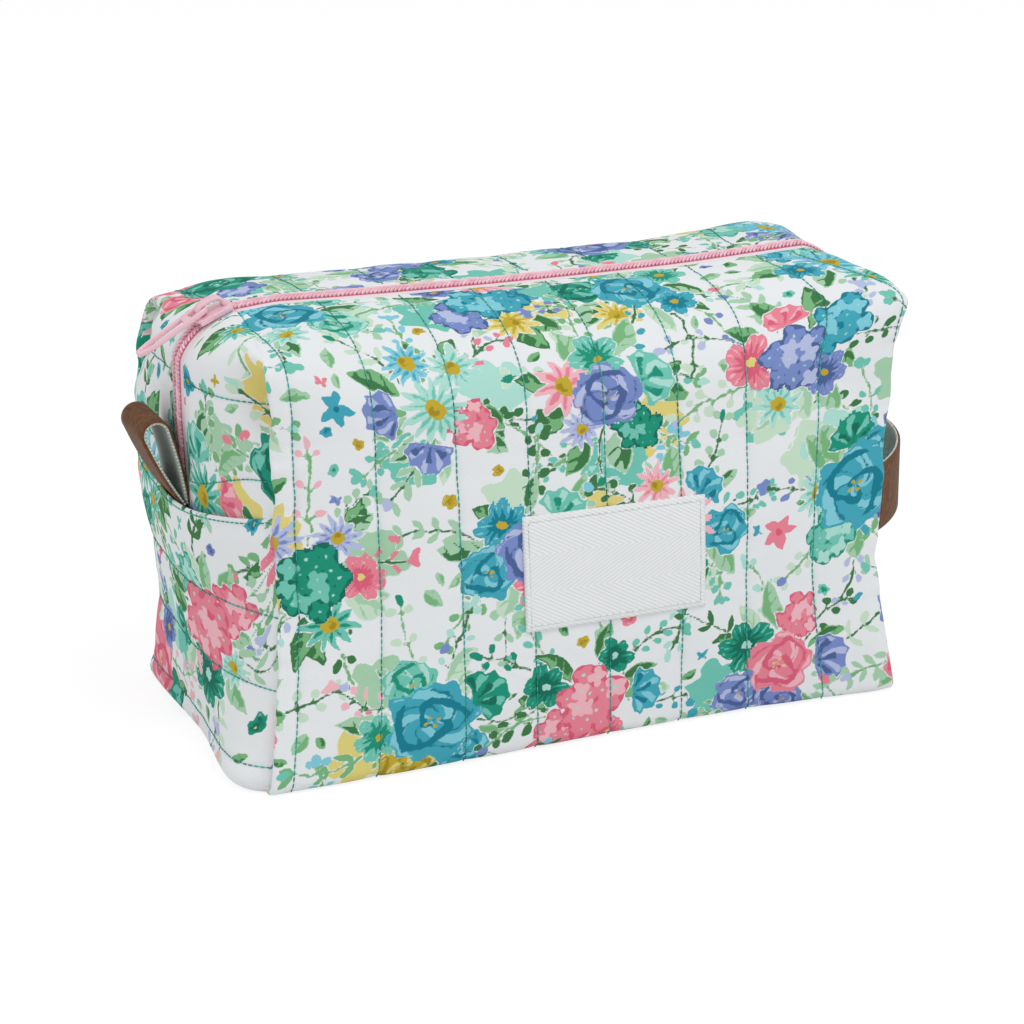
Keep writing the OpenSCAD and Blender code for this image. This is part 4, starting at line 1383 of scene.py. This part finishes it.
def tape_label():
    across, up = (np.linspace(-half, half, count) for half, count in zip(label_half, (72, 44)))
    a, b = np.meshgrid(across, up, indexing="ij")
    rim = np.minimum(label_half[0] - np.abs(a), label_half[1] - np.abs(b))
    sewn_down = 0.14 * np.exp(-((rim - 1.5) / 0.5) ** 2)
    lift = 1.0 + 0.25 * smooth(0, 1.2, rim) - sewn_down + 0.08 * swell(a / 5, b / 4, 61)
    points = on_front(a.ravel(), b.ravel(), lift.ravel()).reshape(a.shape + (3,))
    around = ((1, 1), (1, 1), (0, 0))
    grid = np.pad(points, around, mode="edge")
    turned_under = np.ones(grid.shape[:2], bool)
    turned_under[1:-1, 1:-1] = False
    grid[turned_under] += np.array([0, 0.75, 0])
    piece = grid_piece("label_tape", grid, label_white)
    set_vectors(piece.data, "weave", np.pad(np.stack([a, b, 0 * a], -1), around, mode="edge"))
    corners = label_seam_half * np.array([(-1, -1), (1, -1), (1, 1), (-1, 1), (-1, -1)])
    s = np.linspace(0, 1, 60)[:-1, None]
    ring = np.concatenate([p + (q - p) * s for p, q in zip(corners[:-1], corners[1:])] + [corners[:1]])
    return piece, on_front(ring[:, 0], ring[:, 1], np.full(len(ring), 1.12))


label, label_seam = tape_label()
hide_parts("label")
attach(label, "bag")
label_stitches = beads(
    "label_stitches", [label_seam], label_stitch_pitch, label_stitch_size, (0, 0, 0), 8, label_thread)
# Grey dots along the seam, between the stitches: painted shade in the needle holes.
hole_line = label_seam + np.array([0, 0.05, 0])
label_hole_shades = beads("label_hole_shades", [hole_line], hole_pitch, hole_size, (0, 0, 0), 9, needle_hole_shade)
for piece in (label_stitches, label_hole_shades):
    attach(piece, "bag")

# Floor, light and camera
# A pale floor that fades into white, soft studio light from above and the front, and the photo's viewpoint.
bpy.ops.mesh.primitive_plane_add(size=8, location=(0, 0, 0))
floor = bpy.context.object
floor.name = "floor"
floor_looks = {"Base Color": (0.9, 0.9, 0.9, 1), "Roughness": 0.9, "Specular IOR Level": 0.0}
floor_material, tree, shader = new_material("floor_white", floor_looks)
seen = add_node(tree, "ShaderNodeLightPath").outputs["Is Camera Ray"]
glow = add_node(tree, "ShaderNodeEmission", {"Strength": 1.12}).outputs[0]
glow_share = add_math(tree, "MULTIPLY", seen, 0.75)
both = add_node(tree, "ShaderNodeMixShader", {0: glow_share, 1: shader.outputs[0], 2: glow}).outputs[0]
feed(tree.nodes["Material Output"], {"Surface": both})
floor.data.materials.append(floor_material)

world = bpy.data.worlds.new("studio")
world.use_nodes = True
tree = world.node_tree
seen = add_node(tree, "ShaderNodeLightPath").outputs["Is Camera Ray"]
level = add_node(tree, "ShaderNodeMapRange", {"To Min": 0.6, "To Max": 1.0, "Value": seen}).outputs[0]
feed(tree.nodes["Background"], {"Color": (1, 1, 1, 1), "Strength": level})
bpy.context.scene.world = world


def soft_box(name, place, aim, size, power):
    light = bpy.data.lights.new(name, "AREA")
    light.shape = "RECTANGLE"
    light.size, light.size_y = size
    light.energy = power
    lamp = bpy.data.objects.new(name, light)
    bpy.context.scene.collection.objects.link(lamp)
    lamp.location = place
    away = np.array(aim, float) - np.array(place, float)
    pitch = math.atan2(math.hypot(away[0], away[1]), -away[2])
    lamp.rotation_euler = (pitch, 0, math.atan2(away[1], away[0]) - math.pi / 2)


soft_box("key", (0.25, -0.6, 1.2), (0, 0, 0.05), (0.8, 0.8), 6)
soft_box("fill", (-1.1, 0.35, 0.7), (0, 0, 0.05), (0.8, 0.8), 2)

azimuth, elevation, distance = math.radians(-22.6), math.radians(17.4), 0.890
aim_height = 0.059
photo_pixels, focal_pixels = 1024, 3200
camera_data = bpy.data.cameras.new("camera")
camera_data.sensor_width = 36
camera_data.lens = focal_pixels / photo_pixels * 36
camera_data.shift_x = -11.5 / photo_pixels
camera_data.shift_y = -35 / photo_pixels
camera = bpy.data.objects.new("camera", camera_data)
bpy.context.scene.collection.objects.link(camera)
camera.location = (
    distance * math.sin(azimuth) * math.cos(elevation),
    -distance * math.cos(azimuth) * math.cos(elevation),
    aim_height + distance * math.sin(elevation),
)
camera.rotation_euler = (math.pi / 2 - elevation, 0, azimuth)
bpy.context.scene.camera = camera
bpy.context.scene.view_settings.view_transform = "Standard"
